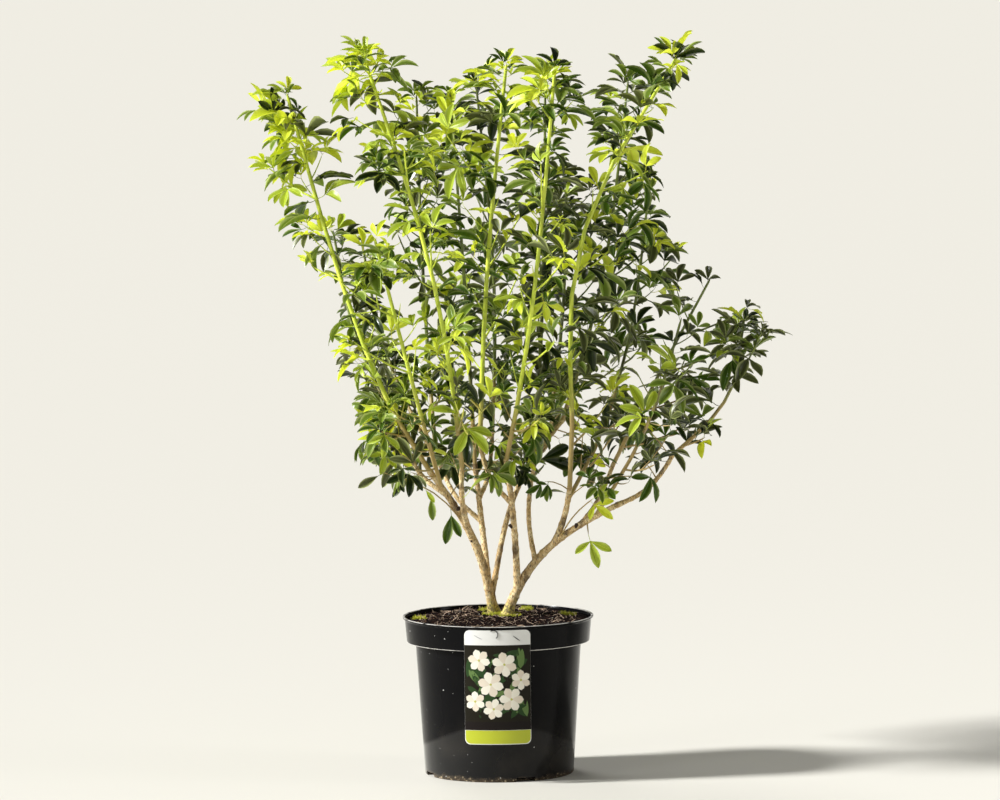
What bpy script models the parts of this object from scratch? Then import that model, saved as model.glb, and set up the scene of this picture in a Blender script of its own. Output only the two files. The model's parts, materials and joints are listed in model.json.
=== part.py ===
"""Potted mexican orange blossom: a many-stemmed evergreen shrub in its ten litre nursery pot.

Metres, +Z up. The origin is the middle of the pot's flat underside, and the plant label faces -Y.
The stems stand on the compost. Boughs leave them, and each bough carries leafy shoots. Every leafy
shoot is one mass of foliage: a main twig, side twigs, and leaves of three leaflets, fused together.
"""

import math
import random
from dataclasses import dataclass

import bmesh
import bpy
import numpy as np
from mathutils import Matrix, Vector
from mathutils.bvhtree import BVHTree

# The clearance between any two pieces that touch
GAP = 0.0003

# Pot, from the foot up
POT_HEIGHT = 0.232
LIP_RADIUS = 0.140
LIP_DEPTH = 0.0022
SKIRT_TOP_RADIUS = 0.137
SKIRT_FOOT_RADIUS = 0.134
SKIRT_FOOT = 0.195
BODY_TOP_RADIUS = 0.1215
FOOT_RADIUS = 0.109
POT_WALL = 0.0016
POT_FLOOR = 0.003
POT_SEGMENTS = 40
NOTCH_COUNT = 4
NOTCH_WIDTH = 0.029
NOTCH_HEIGHT = 0.006
NOTCH_DEPTH = 0.010
FIRST_NOTCH = math.radians(-69.2)

# Compost, level where the stems stand and lower at the pot's wall
SOIL_LEVEL = 0.2325
SOIL_LEVEL_RADIUS = 0.045
SOIL_EDGE_LEVEL = 0.2255
# Half way out to the wall, the surface has fallen by this share of its whole fall
SOIL_SHOULDER_FALL = 0.4

# Plant label, a curved plastic tag that hangs down from the pot's skirt
LABEL_WIDTH = 0.098
LABEL_TOP = 0.2270
LABEL_LENGTH = 0.167
LABEL_THICKNESS = 0.0008
LABEL_CORNER = 0.008
LABEL_TURN = math.radians(-0.6)
LABEL_COLUMNS = 18
# The share of a corner's full drop that the tag's two ends have, which leaves them straight
LABEL_END_DROP = 0.96

# Woody stems and boughs
STEM_SIDES = 8
BOUGH_SIDES = 6
# A direction that no limb takes: it sets where the first corner of a tube stands
TUBE_SIDE = (0.31, -0.94, 0.14)
LIMB_RINGS = 8
# Over 1, a trunk's rings crowd towards its foot, where it flares
TRUNK_CROWD = 1.35
ROOT_FLARE = 0.0026
FLARE_HEIGHT = 0.010

# Leafy shoots: a main twig with side twigs
SHOOT_SIDES = 3
SHOOT_RINGS = 7
SHOOT_RADII = (0.0030, 0.0016)
# A shoot at a bough's tip starts just within it and is cut to it
BOUGH_END = 0.985
TWIG_RADII = (0.0017, 0.0011)
TWIG_RINGS = 4
TWIG_LENGTH = 0.105
TWIG_LENGTH_RANGE = (0.75, 1.05)
TWIG_OPENING = math.radians(48)
TWIG_SAG = 0.06
TWIG_SHARES = (0.10, 0.31, 0.52, 0.73)
TWIG_TRIES = 10
# How far chance may play down the room that a side twig finds
TWIG_CHANCE = (0.75, 1.0)
TWIG_SEED = 100
LEAF_SHARES = (0.90, 0.78, 0.64, 0.50, 0.36, 0.22, 0.14)
LEAVES_A_SHOOT = 11
# How many leaves stand at the end of a main twig and of a side twig, and how wide they open
TIP_LEAVES = (3, math.radians(44))
TWIG_LEAVES = (2, math.radians(40))
STEM_LEAF_OPENING = math.radians(62)
END_SHARE = 0.996
# A leaf that doesn't fit is turned aside, now one way and now the other, and made smaller
LEAF_TRIES = 14
LEAF_ASIDE = math.radians(12)
LEAF_SHRINK = 0.035
LEAF_OPENING_RANGE = (-0.1, 0.1)
LEAF_LIFT = 0.6
LEAF_SEED = 300

# A leaf of three leaflets, larger than life: the plant has several thousand leaflets, and the
# solid has a few hundred
STALK_LENGTH = 0.022
STALK_HALF_WIDTH = 0.0010
NOTCH_REACH = 1.8
LEAFLET_LENGTH = 0.076
LEAFLET_WIDTH = 0.031
LEAFLET_THICKNESS = 0.0011
LEAFLET_WIDEST = 0.52
LEAFLET_FOLD = 0.0022
LEAFLET_DROOP = 0.10
SIDE_LEAFLET = 0.86
SIDE_LEAFLET_TURN = math.radians(58)

# The crown's furthest reach to each side and to the top
CROWN_LOW = (-0.381, -0.320, 0.400)
CROWN_HIGH = (0.446, 0.360, 1.098)

# How far apart the skeletons are sampled, and the room that two masses leave between them
SAMPLE_STEP = 0.004
MASS_CLEARANCE = 0.0016
TWIG_ROOM = 0.030
TWIG_CLEARANCE = 0.012


@dataclass
class Limb:
    """One tapering limb: where it leaves, where it ends, how thick it is and how it bends."""

    name: str
    parent: str
    share: float
    tip: tuple
    bow: tuple
    radii: tuple = SHOOT_RADII
    peak: float = 0.5


# Trunks, which stand on the compost: their feet in plan, and where each one ends
FEET = {"trunk_left": (-0.006, 0.018), "trunk_right": (0.014, -0.004)}
TRUNKS = [
    Limb("trunk_left", "soil", 0, (-0.1, -0.04, 0.453), (0.018, 0.002, 0.002), (0.0082, 0.0047)),
    Limb("trunk_right", "soil", 0, (0.174, -0.06, 0.399), (-0.018, 0.022, 0.017), (0.008, 0.0042), 0.45),
]

# Stems, which fork off the trunks close to the ground
STEMS = [
    Limb("stem_back", "trunk_left", 0.15, (-0.032, 0.074, 0.448), (0, 0.014, 0), (0.0054, 0.004), 0.4),
    Limb(
        "stem_middle", "trunk_left", 0.1, (0.1, 0.086, 0.512), (-0.022, -0.012, 0.012), (0.0048, 0.0036), 0.55
    ),
    Limb("stem_centre", "trunk_right", 0.16, (0.014, -0.074, 0.47), (0.003, 0.012, 0), (0.006, 0.0042)),
]

# Boughs: each leaves its parent at a share of the parent's length
BOUGHS = [
    Limb(
        "bough_left_front", "trunk_left", 0.5, (-0.05, -0.082, 0.462), (-0.006, -0.012, -0.004),
        (0.005, 0.0038)
    ),
    Limb(
        "bough_left_back", "trunk_left", 0.8, (-0.135, 0.034, 0.5), (-0.012, 0.006, -0.01), (0.004, 0.0034)
    ),
    Limb(
        "bough_back_left", "stem_back", 0.56, (-0.092, 0.146, 0.478), (-0.01, 0.006, -0.014),
        (0.004, 0.0033)
    ),
    Limb("bough_back", "stem_back", 0.74, (-0.006, 0.156, 0.484), (0.004, 0.01, -0.014), (0.004, 0.0033)),
    Limb(
        "bough_centre_left", "stem_centre", 0.64, (-0.024, -0.05, 0.492), (-0.008, 0, -0.006),
        (0.004, 0.0034)
    ),
    Limb(
        "bough_right_inner", "trunk_right", 0.36, (0.057, 0.044, 0.456), (-0.01, 0.004, -0.004),
        (0.0042, 0.0034)
    ),
    Limb(
        "bough_right_middle", "trunk_right", 0.52, (0.107, -0.022, 0.424), (0.004, -0.004, 0),
        (0.0054, 0.0042)
    ),
    Limb(
        "bough_right_back", "trunk_right", 0.72, (0.172, 0.052, 0.448), (0.002, -0.006, -0.008),
        (0.0044, 0.0034)
    ),
    Limb(
        "bough_far_right", "trunk_right", 1, (0.258, -0.064, 0.474), (0.006, -0.006, -0.01), (0.004, 0.0034)
    ),
    Limb("bough_rear", "stem_middle", 0.76, (0.084, 0.196, 0.52), (0.006, 0.01, -0.016), (0.0036, 0.0031)),
]
WOODY = TRUNKS + STEMS + BOUGHS

# Leafy shoots, one mass of foliage each
SHOOTS = [
    Limb("foliage_far_left", "trunk_left", 1, (-0.3, 0.004, 1.0), (-0.026, -0.01, 0), peak=0.35),
    Limb("foliage_left_back", "bough_left_back", 1, (-0.23, 0.164, 0.735), (-0.018, 0.03, 0)),
    Limb("foliage_left_front", "trunk_left", 0.86, (-0.17, -0.146, 0.79), (0, -0.046, 0), peak=0.4),
    Limb("foliage_front_left", "bough_left_front", 1, (-0.17, -0.19, 1.02), (0.022, -0.046, 0)),
    Limb("foliage_middle", "stem_back", 1, (-0.058, 0.03, 0.93), (0.002, 0.02, 0)),
    Limb("foliage_rear_left", "bough_back_left", 1, (-0.112, 0.19, 0.915), (-0.004, 0.036, 0)),
    Limb("foliage_rear", "bough_back", 1, (-0.016, 0.256, 0.905), (0.01, 0.044, 0)),
    Limb("foliage_centre_left", "bough_centre_left", 1, (0.014, -0.082, 0.99), (-0.006, -0.02, 0)),
    Limb("foliage_front", "stem_centre", 1, (0.084, -0.2, 0.985), (0.008, -0.056, 0), peak=0.45),
    Limb("foliage_front_right", "bough_right_middle", 1, (0.236, -0.056, 1.0), (-0.064, -0.09, 0), peak=0.6),
    Limb("foliage_inner_right", "bough_right_inner", 1, (0.076, 0.142, 0.905), (0.004, 0.03, 0)),
    Limb("foliage_middle_right", "stem_middle", 1, (0.186, 0.066, 0.905), (0.014, 0.012, 0)),
    Limb(
        "foliage_rear_right", "bough_right_middle", 0.76, (0.23, 0.2, 0.835), (0.03, 0.092, -0.01), peak=0.42
    ),
    Limb("foliage_right_back", "bough_right_back", 1, (0.312, 0.102, 0.705), (0, 0.024, 0)),
    Limb("foliage_right_front", "trunk_right", 0.84, (0.262, -0.146, 0.655), (0.014, -0.034, 0)),
    Limb("foliage_far_right", "bough_far_right", 1, (0.356, -0.034, 0.622), (0.026, 0, 0)),
    Limb("foliage_back", "bough_rear", 1, (0.108, 0.272, 0.8), (0.006, 0.03, 0)),
    Limb("foliage_back_left", "bough_back_left", 0.66, (-0.19, 0.262, 0.715), (-0.02, 0.036, 0)),
]


def material(name, colour, roughness, metallic=0.0):
    """A Principled material with the piece's own colour."""
    made = bpy.data.materials.new(name)
    made.use_nodes = True
    shader = made.node_tree.nodes["Principled BSDF"]
    shader.inputs["Base Color"].default_value = (*colour, 1.0)
    shader.inputs["Roughness"].default_value = roughness
    shader.inputs["Metallic"].default_value = metallic
    return made


def new_object(name, mesh, finish=None):
    """Puts a mesh into the scene, with its finish."""
    made = bpy.data.objects.new(name, mesh)
    bpy.context.scene.collection.objects.link(made)
    if finish:
        mesh.materials.append(finish)
    return made


def mesh_from(work, name):
    """Turns a bmesh into a mesh whose faces point outwards."""
    bmesh.ops.recalc_face_normals(work, faces=work.faces)
    mesh = bpy.data.meshes.new(name)
    work.to_mesh(mesh)
    work.free()
    return mesh


def turned(name, profile, finish):
    """A solid turned round Z from a profile of (radius, height), whose ends lie on the axis."""
    work = bmesh.new()
    points = [work.verts.new((radius, 0, height)) for radius, height in profile]
    edges = [work.edges.new(pair) for pair in zip(points, points[1:])]
    bmesh.ops.spin(
        work, geom=points + edges, cent=(0, 0, 0), axis=(0, 0, 1), angle=math.tau, steps=POT_SEGMENTS
    )
    bmesh.ops.remove_doubles(work, verts=work.verts, dist=1e-6)
    return new_object(name, mesh_from(work, name), finish)


def applied(made):
    """Replaces an object's mesh with the one that its modifiers make."""
    graph = bpy.context.evaluated_depsgraph_get()
    finished = bpy.data.meshes.new_from_object(made.evaluated_get(graph))
    old = made.data
    made.modifiers.clear()
    made.data = finished
    bpy.data.meshes.remove(old)


def body_radius(height):
    """The pot's outer radius below the skirt."""
    return FOOT_RADIUS + (BODY_TOP_RADIUS - FOOT_RADIUS) * height / SKIRT_FOOT


def pot(finish):
    """The pot: a thin shell with a deep skirt, a flared lip and drain notches at the foot."""
    lip_foot = POT_HEIGHT - LIP_DEPTH
    ledge = SKIRT_FOOT + POT_WALL
    shell = turned(
        "pot",
        [
            (0, 0),
            (FOOT_RADIUS, 0),
            (BODY_TOP_RADIUS, SKIRT_FOOT),
            (SKIRT_FOOT_RADIUS, SKIRT_FOOT),
            (SKIRT_TOP_RADIUS, lip_foot - LIP_DEPTH),
            (LIP_RADIUS, lip_foot),
            (LIP_RADIUS, POT_HEIGHT),
            (LIP_RADIUS - 2 * POT_WALL, POT_HEIGHT),
            (SKIRT_TOP_RADIUS - POT_WALL, lip_foot - LIP_DEPTH),
            (SKIRT_FOOT_RADIUS - POT_WALL, ledge),
            (body_radius(ledge) - POT_WALL, ledge),
            (body_radius(POT_FLOOR) - POT_WALL, POT_FLOOR),
            (0, POT_FLOOR),
        ],
        finish,
    )
    for number in range(NOTCH_COUNT):
        angle = FIRST_NOTCH + number * math.tau / NOTCH_COUNT
        bpy.ops.mesh.primitive_cube_add(size=1)
        cutter = bpy.context.object
        cutter.name = f"notch_cutter_{number}"
        cutter.scale = (2 * NOTCH_DEPTH, NOTCH_WIDTH, 2 * NOTCH_HEIGHT)
        cutter.rotation_euler = (0, 0, angle)
        cutter.location = (FOOT_RADIUS * math.cos(angle), FOOT_RADIUS * math.sin(angle), 0)
        cutter.hide_render = True
        cutter.display_type = "WIRE"
        cut = shell.modifiers.new(f"Notch {number}", "BOOLEAN")
        cut.operation = "DIFFERENCE"
        cut.object = cutter
    return shell


def soil(finish):
    """The compost, which fills the pot: level round the stems, then falling to the wall."""
    ledge = SKIRT_FOOT + POT_WALL + GAP
    floor = POT_FLOOR + GAP
    rise = (SOIL_EDGE_LEVEL - SKIRT_FOOT) / (POT_HEIGHT - 2 * LIP_DEPTH - SKIRT_FOOT)
    edge = SKIRT_FOOT_RADIUS + (SKIRT_TOP_RADIUS - SKIRT_FOOT_RADIUS) * rise - POT_WALL - GAP
    shoulder = SOIL_LEVEL + (SOIL_EDGE_LEVEL - SOIL_LEVEL) * SOIL_SHOULDER_FALL
    return turned(
        "soil",
        [
            (0, floor),
            (body_radius(floor) - POT_WALL - GAP, floor),
            (body_radius(ledge) - POT_WALL - GAP, ledge),
            (SKIRT_FOOT_RADIUS - POT_WALL - GAP, ledge),
            (edge, SOIL_EDGE_LEVEL),
            ((edge + SOIL_LEVEL_RADIUS) / 2, shoulder),
            (SOIL_LEVEL_RADIUS, SOIL_LEVEL),
            (0, SOIL_LEVEL),
        ],
        finish,
    )


def label(finish):
    """The plant label: a tag with round corners, bent to the skirt's curve and hanging straight."""
    inner = SKIRT_TOP_RADIUS + GAP
    outer = inner + LABEL_THICKNESS
    half = LABEL_WIDTH / 2
    work = bmesh.new()
    rings = []
    for column in range(LABEL_COLUMNS + 1):
        # Columns crowd towards the sides, where the corners are round.
        across = half * math.sin(math.pi * (column / LABEL_COLUMNS - 0.5))
        into_corner = max(0.0, abs(across) - (half - LABEL_CORNER)) / LABEL_CORNER
        full_drop = 1 - math.sqrt(max(0.0, 1 - into_corner**2))
        drop = LABEL_CORNER * min(full_drop, LABEL_END_DROP)
        angle = across / outer + LABEL_TURN
        top = LABEL_TOP - drop
        foot = LABEL_TOP - LABEL_LENGTH + drop
        corners = ((outer, top), (outer, foot), (inner, foot), (inner, top))
        rings.append(
            [work.verts.new((r * math.sin(angle), -r * math.cos(angle), z)) for r, z in corners]
        )
    for ring, following in zip(rings, rings[1:]):
        for here in range(4):
            there = (here + 1) % 4
            work.faces.new((ring[here], ring[there], following[there], following[here]))
    work.faces.new(rings[0])
    work.faces.new(rings[-1][::-1])
    return new_object("plant_label", mesh_from(work, "plant_label"), finish)


def bump(share, peak):
    """0 at both ends of a limb and 1 at its peak, smooth between."""
    return math.sin(math.pi * share ** (math.log(0.5) / math.log(peak)))


def route(start, tip, bow, peak, count, crowd=1.0):
    """Points along a bowed limb. A crowd over 1 puts more of them near its start."""
    start, tip, bow = Vector(start), Vector(tip), Vector(bow)
    shares = [(step / (count - 1)) ** crowd for step in range(count)]
    return [start.lerp(tip, share) + bow * bump(share, peak) for share in shares]


def along(points, share):
    """The point at a share of a route's length, and the route's direction there."""
    lengths = [(b - a).length for a, b in zip(points, points[1:])]
    left = share * sum(lengths)
    for (a, b), length in zip(zip(points, points[1:]), lengths):
        if left <= length:
            return a.lerp(b, left / length), (b - a).normalized()
        left -= length
    return points[-1].copy(), (points[-1] - points[-2]).normalized()


def add_tube(work, points, radii, sides, level_foot=False):
    """A closed tube through rings of vertices along a route. A level foot lies flat on the compost."""
    inner = [c - a for a, c in zip(points, points[2:])]
    tangents = [points[1] - points[0], *inner, points[-1] - points[-2]]
    side = tangents[0].cross(Vector(TUBE_SIDE)).normalized()
    rings = []
    for number, (point, tangent, radius) in enumerate(zip(points, tangents, radii)):
        if level_foot and number == 0:
            tangent = Vector((0, 0, 1))
        tangent = tangent.normalized()
        side = (side - tangent * side.dot(tangent)).normalized()
        other = tangent.cross(side)
        ring = []
        for corner in range(sides):
            angle = math.tau * corner / sides
            ring.append(work.verts.new(point + radius * (side * math.cos(angle) + other * math.sin(angle))))
        rings.append(ring)
    for ring, following in zip(rings, rings[1:]):
        for here in range(sides):
            there = (here + 1) % sides
            work.faces.new((ring[here], ring[there], following[there], following[here]))
    work.faces.new(rings[0][::-1])
    work.faces.new(rings[-1])


def taper(radii, count, crowd=1.0):
    """Radii that shrink evenly from a limb's start to its tip."""
    shares = [(step / (count - 1)) ** crowd for step in range(count)]
    return [radii[0] + (radii[1] - radii[0]) * share for share in shares]


def limb_mesh(limb, points, radii, grown=0.0):
    """A limb's mesh, or a fatter and longer copy of it to cut a neighbour with."""
    sides = BOUGH_SIDES if limb in BOUGHS else STEM_SIDES
    fat = grown / math.cos(math.pi / sides)
    tip = points[-1] + (points[-1] - points[-2]).normalized() * grown
    work = bmesh.new()
    add_tube(work, [*points[:-1], tip], [radius + fat for radius in radii], sides, limb in TRUNKS)
    return mesh_from(work, limb.name)


def cut_to(made, other, routes):
    """Cuts an object to the surface of the limb that carries it, or of one beside it, a gap clear."""
    limb = next(limb for limb in WOODY if limb.name == other)
    cutter = new_object("cutter", limb_mesh(limb, *routes[other], grown=GAP))
    cut = made.modifiers.new("Seat", "BOOLEAN")
    cut.operation = "DIFFERENCE"
    cut.object = cutter
    applied(made)
    largest_body(made.data)
    bpy.data.objects.remove(cutter)


def woody_limbs(finish):
    """Trunks, stems and boughs, with the route and the radii of each for what it carries."""
    parents = {limb.name: limb.parent for limb in WOODY}
    routes = {}
    for limb in WOODY:
        rooted = limb in TRUNKS
        crowd = TRUNK_CROWD if rooted else 1.0
        if rooted:
            start = (*FEET[limb.name], SOIL_LEVEL + GAP)
        else:
            start = along(routes[limb.parent][0], limb.share)[0]
        points = route(start, limb.tip, limb.bow, limb.peak, LIMB_RINGS, crowd)
        radii = taper(limb.radii, LIMB_RINGS, crowd)
        if rooted:
            flares = [ROOT_FLARE * math.exp((points[0].z - point.z) / FLARE_HEIGHT) for point in points]
            radii = [radius + flare for radius, flare in zip(radii, flares)]
        made = new_object(limb.name, limb_mesh(limb, points, radii), finish)
        for other in routes:
            if other == limb.parent or (parents[other] == limb.parent and not rooted):
                cut_to(made, other, routes)
        routes[limb.name] = (points, radii)
    return routes


class Spaces:
    """The skeletons of all limbs and shoots, sampled, so that each mass can keep to its own space."""

    def __init__(self):
        self.places = []
        self.owners = []
        self.radii = []

    def add(self, owner, points, radius):
        """Adds a limb's or a twig's route, with its radius."""
        for a, b in zip(points, points[1:]):
            count = max(1, math.ceil((b - a).length / SAMPLE_STEP))
            for step in range(count + 1):
                self.places.append(tuple(a.lerp(b, step / count)))
                self.owners.append(owner)
                self.radii.append(radius)
        self.array = None

    def distances(self, owner, points):
        """For each point, how far its own skeleton is, and how far any other's surface is."""
        if self.array is None:
            self.array = np.array(self.places)
            self.names = np.array(self.owners)
            self.thick = np.array(self.radii)
        points = np.array([tuple(point) for point in points])
        away = np.linalg.norm(points[:, None, :] - self.array[None, :, :], axis=2)
        own = self.names == owner
        return away[:, own].min(axis=1), (away[:, ~own] - self.thick[~own]).min(axis=1)


class Leaf:
    """A leaf of three leaflets and its stalk, as one closed solid that starts on a twig's axis.

    In its own frame the leaf points along +X and its upper side looks along +Z.
    """

    def __init__(self, base, out, up, size):
        up = (up - out * up.dot(out)).normalized()
        side = up.cross(out)
        self.corners, self.faces, self.blades = [], [], []
        half = STALK_HALF_WIDTH
        thick = LEAFLET_THICKNESS / (2 - 2 * LEAFLET_WIDEST)
        notch = NOTCH_REACH * half
        foot_left, foot_top, foot_right = self.ring([(0, half, -half), (0, 0, half), (0, -half, -half)])
        left, top, right, under = self.ring(
            [
                (STALK_LENGTH - half, notch, 0),
                (STALK_LENGTH, 0, thick),
                (STALK_LENGTH - half, -notch, 0),
                (STALK_LENGTH, 0, -thick),
            ]
        )
        far_left, far_right = self.ring([(STALK_LENGTH + notch, notch, 0), (STALK_LENGTH + notch, -notch, 0)])
        self.faces += [
            (foot_left, foot_right, foot_top),
            (foot_left, foot_top, top),
            (foot_left, top, left),
            (foot_top, foot_right, right),
            (foot_top, right, top),
            (foot_right, foot_left, under),
            (foot_left, left, under),
            (right, foot_right, under),
        ]
        self.add_leaflet(SIDE_LEAFLET_TURN, SIDE_LEAFLET, left, far_left, top, under)
        self.add_leaflet(0.0, 1.0, far_left, far_right, top, under)
        self.add_leaflet(-SIDE_LEAFLET_TURN, SIDE_LEAFLET, far_right, right, top, under)
        frame = Matrix((out, side, up)).transposed()
        self.corners = [base + size * (frame @ corner) for corner in self.corners]

    def ring(self, places):
        """Adds corners and gives their numbers."""
        first = len(self.corners)
        self.corners += [Vector(place) for place in places]
        return list(range(first, len(self.corners)))

    def add_leaflet(self, turn, share, first, last, top, under):
        """One leaflet between two notches of the outline: folded along its midrib, and drooping."""
        root = Vector((STALK_LENGTH, 0, 0))
        forward = Vector((math.cos(turn), math.sin(turn), -LEAFLET_DROOP)) * (LEAFLET_LENGTH * share)
        side = Vector((-math.sin(turn), math.cos(turn), 0)) * (LEAFLET_WIDTH * share / 2)
        middle = root + forward * LEAFLET_WIDEST + Vector((0, 0, LEAFLET_FOLD))
        back, point, front = self.ring([middle + side, root + forward, middle - side])
        outline = [first, back, point, front, last]
        for a, b in zip(outline, outline[1:]):
            self.blades += [(a, top, b), (a, b, under)]
            self.faces += self.blades[-2:]

    def samples(self):
        """Points all over the leaf, to test the space it takes."""
        edges = {tuple(sorted(pair)) for face in self.faces for pair in zip(face, face[1:] + face[:1])}
        return self.corners + [self.corners[a].lerp(self.corners[b], 0.5) for a, b in edges]

    def crosses(self, others):
        """Whether a leaflet cuts through another leaf or a twig of the same shoot."""
        own = BVHTree.FromPolygons(self.corners, self.blades)
        return any(own.overlap(other) for other in others)

    def add_to(self, work):
        """Builds the leaf as faces of a bmesh."""
        verts = [work.verts.new(corner) for corner in self.corners]
        for face in self.faces:
            work.faces.new([verts[index] for index in face])


def piece_object(build):
    """One closed piece of a mass, as a helper object."""
    work = bmesh.new()
    build(work)
    bmesh.ops.triangulate(work, faces=work.faces)
    return new_object("piece", mesh_from(work, "piece"))


def tube_piece(points, radii):
    """A three-sided twig, as a helper object."""
    thick = taper(radii, len(points))
    return piece_object(lambda work: add_tube(work, points, thick, SHOOT_SIDES))


def largest_body(mesh):
    """Keeps the largest closed body: a sealed hollow is filled and a loose scrap is dropped."""
    work = bmesh.new()
    work.from_mesh(mesh)
    bmesh.ops.triangulate(work, faces=work.faces)
    left = set(work.verts)
    bodies = []
    while left:
        body, edge = set(), [left.pop()]
        while edge:
            vert = edge.pop()
            body.add(vert)
            for link in vert.link_edges:
                other = link.other_vert(vert)
                if other in left:
                    left.discard(other)
                    edge.append(other)
        bodies.append(body)
    keep = max(bodies, key=len)
    bmesh.ops.delete(work, geom=[vert for body in bodies if body is not keep for vert in body])
    work.to_mesh(mesh)
    work.free()


def fused(name, pieces, finish):
    """Fuses overlapping pieces into one solid with a Boolean union on their collection."""
    body, *others = pieces
    group = bpy.data.collections.new(f"{name}_pieces")
    for other in others:
        group.objects.link(other)
    union = body.modifiers.new("Union", "BOOLEAN")
    union.operation = "UNION"
    union.operand_type = "COLLECTION"
    union.collection = group
    applied(body)
    for other in others:
        bpy.data.objects.remove(other)
    bpy.data.collections.remove(group)
    body.name = name
    body.data.name = name
    largest_body(body.data)
    body.data.materials.clear()
    body.data.materials.append(finish)
    return body


def spread(direction, azimuth, open_angle):
    """A direction that opens away from another by an angle, at an azimuth round it."""
    upright = abs(direction.z) > 0.5
    across = direction.cross(Vector((0, 1, 0)) if upright else Vector((0, 0, 1))).normalized()
    across = Matrix.Rotation(azimuth, 3, direction) @ across
    return (direction * math.cos(open_angle) + across * math.sin(open_angle)).normalized()


def grow_twigs(limb, points, spaces, chance):
    """Side twigs up the shoot, each turned towards the most room. One that finds none is skipped."""
    twigs = []
    azimuth = chance.uniform(0, math.tau)
    for share in TWIG_SHARES:
        base, direction = along(points, share)
        length = TWIG_LENGTH * chance.uniform(*TWIG_LENGTH_RANGE)
        best, most_room = None, TWIG_ROOM
        for attempt in range(TWIG_TRIES):
            out = spread(direction, azimuth + attempt * math.tau / TWIG_TRIES, TWIG_OPENING)
            tip = base + out * length + Vector((0, 0, 2 * TWIG_SAG * length))
            twig = route(base, tip, (0, 0, -TWIG_SAG * length), 0.5, TWIG_RINGS)
            room = spaces.distances(limb.name, twig[-1:])[1].min() * chance.uniform(*TWIG_CHANCE)
            clear = spaces.distances(limb.name, twig[1:])[1].min() > TWIG_CLEARANCE
            if room > most_room and clear and within_crown(twig, TWIG_ROOM):
                best, most_room = twig, room
        if best:
            twigs.append(best)
            spaces.add(limb.name, best, TWIG_RADII[0])
    return twigs


def within_crown(points, margin=0.0):
    """Whether all of the points lie within the crown's furthest reach."""
    lows = [value - low for point in points for value, low in zip(point, CROWN_LOW)]
    highs = [high - value for point in points for value, high in zip(point, CROWN_HIGH)]
    return min(lows + highs) > margin


def flat_strip(points):
    """Two crossed strips along a twig, which stand for it when a leaf is tested against it."""
    corners, faces = [], []
    for across in (Vector((SHOOT_RADII[0], 0, 0)), Vector((0, SHOOT_RADII[0], 0))):
        for a, b in zip(points, points[1:]):
            first = len(corners)
            corners += [a - across, a + across, b + across, b - across]
            faces.append((first, first + 1, first + 2, first + 3))
    return BVHTree.FromPolygons(corners, faces)


def leaf_places(points, twigs, chance):
    """Where leaves may grow, the ends first: (base, direction, azimuth, opening angle)."""
    places = []
    for line in [points, *twigs]:
        azimuth = chance.uniform(0, math.tau)
        base, direction = along(line, END_SHARE)
        count, opening = TIP_LEAVES if line is points else TWIG_LEAVES
        places += [(base, direction, azimuth + number * math.tau / count, opening) for number in range(count)]
    azimuth = chance.uniform(0, math.tau)
    for share in LEAF_SHARES:
        azimuth += math.pi / 2
        base, direction = along(points, share)
        places += [(base, direction, azimuth + half, STEM_LEAF_OPENING) for half in (0, math.pi)]
    return places


def grow_leaves(limb, points, twigs, spaces, chance):
    """Leaves that keep to their shoot's own space, turned and made smaller until one fits."""
    leaves = []
    taken = [flat_strip(line) for line in [points, *twigs]]
    for base, direction, azimuth, opening in leaf_places(points, twigs, chance):
        if len(leaves) == LEAVES_A_SHOOT:
            break
        for attempt in range(LEAF_TRIES):
            aside = LEAF_ASIDE * attempt * (-1) ** attempt
            out = spread(direction, azimuth + aside, opening + chance.uniform(*LEAF_OPENING_RANGE))
            leaf = Leaf(base, out, direction + Vector((0, 0, LEAF_LIFT)), 1 - LEAF_SHRINK * attempt)
            samples = leaf.samples()
            own, other = spaces.distances(limb.name, samples)
            fits = (own + MASS_CLEARANCE < other).all() and within_crown(samples)
            if fits and not leaf.crosses(taken):
                leaves.append(leaf)
                taken.append(BVHTree.FromPolygons(leaf.corners, leaf.faces))
                break
    return leaves


def foliage(routes, finish):
    """The leafy shoots, each grown within its own space and fused into one mass."""
    spaces = Spaces()
    for name, (points, radii) in routes.items():
        spaces.add(name, points, max(radii[1:]))
    lines = {}
    for limb in SHOOTS:
        start = along(routes[limb.parent][0], min(limb.share, BOUGH_END))[0]
        lines[limb.name] = route(start, limb.tip, limb.bow, limb.peak, SHOOT_RINGS)
        spaces.add(limb.name, lines[limb.name], SHOOT_RADII[0])
    twigs = {}
    for number, limb in enumerate(SHOOTS):
        chance = random.Random(TWIG_SEED + number)
        twigs[limb.name] = grow_twigs(limb, lines[limb.name], spaces, chance)
    for number, limb in enumerate(SHOOTS):
        line = lines[limb.name]
        pieces = [tube_piece(line, limb.radii)]
        cut_to(pieces[0], limb.parent, routes)
        pieces += [tube_piece(twig, TWIG_RADII) for twig in twigs[limb.name]]
        chance = random.Random(LEAF_SEED + number)
        leaves = grow_leaves(limb, line, twigs[limb.name], spaces, chance)
        pieces += [piece_object(leaf.add_to) for leaf in leaves]
        fused(limb.name, pieces, finish)


def main():
    """Clears the scene and builds every piece."""
    for old in list(bpy.data.objects):
        bpy.data.objects.remove(old)
    pot(material("pot_plastic", (0.012, 0.012, 0.013), 0.25))
    soil(material("compost", (0.045, 0.028, 0.018), 0.95))
    label(material("label_plastic", (0.45, 0.52, 0.12), 0.35))
    routes = woody_limbs(material("bark", (0.42, 0.27, 0.12), 0.8))
    foliage(routes, material("foliage", (0.16, 0.30, 0.04), 0.45))


main()
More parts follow.
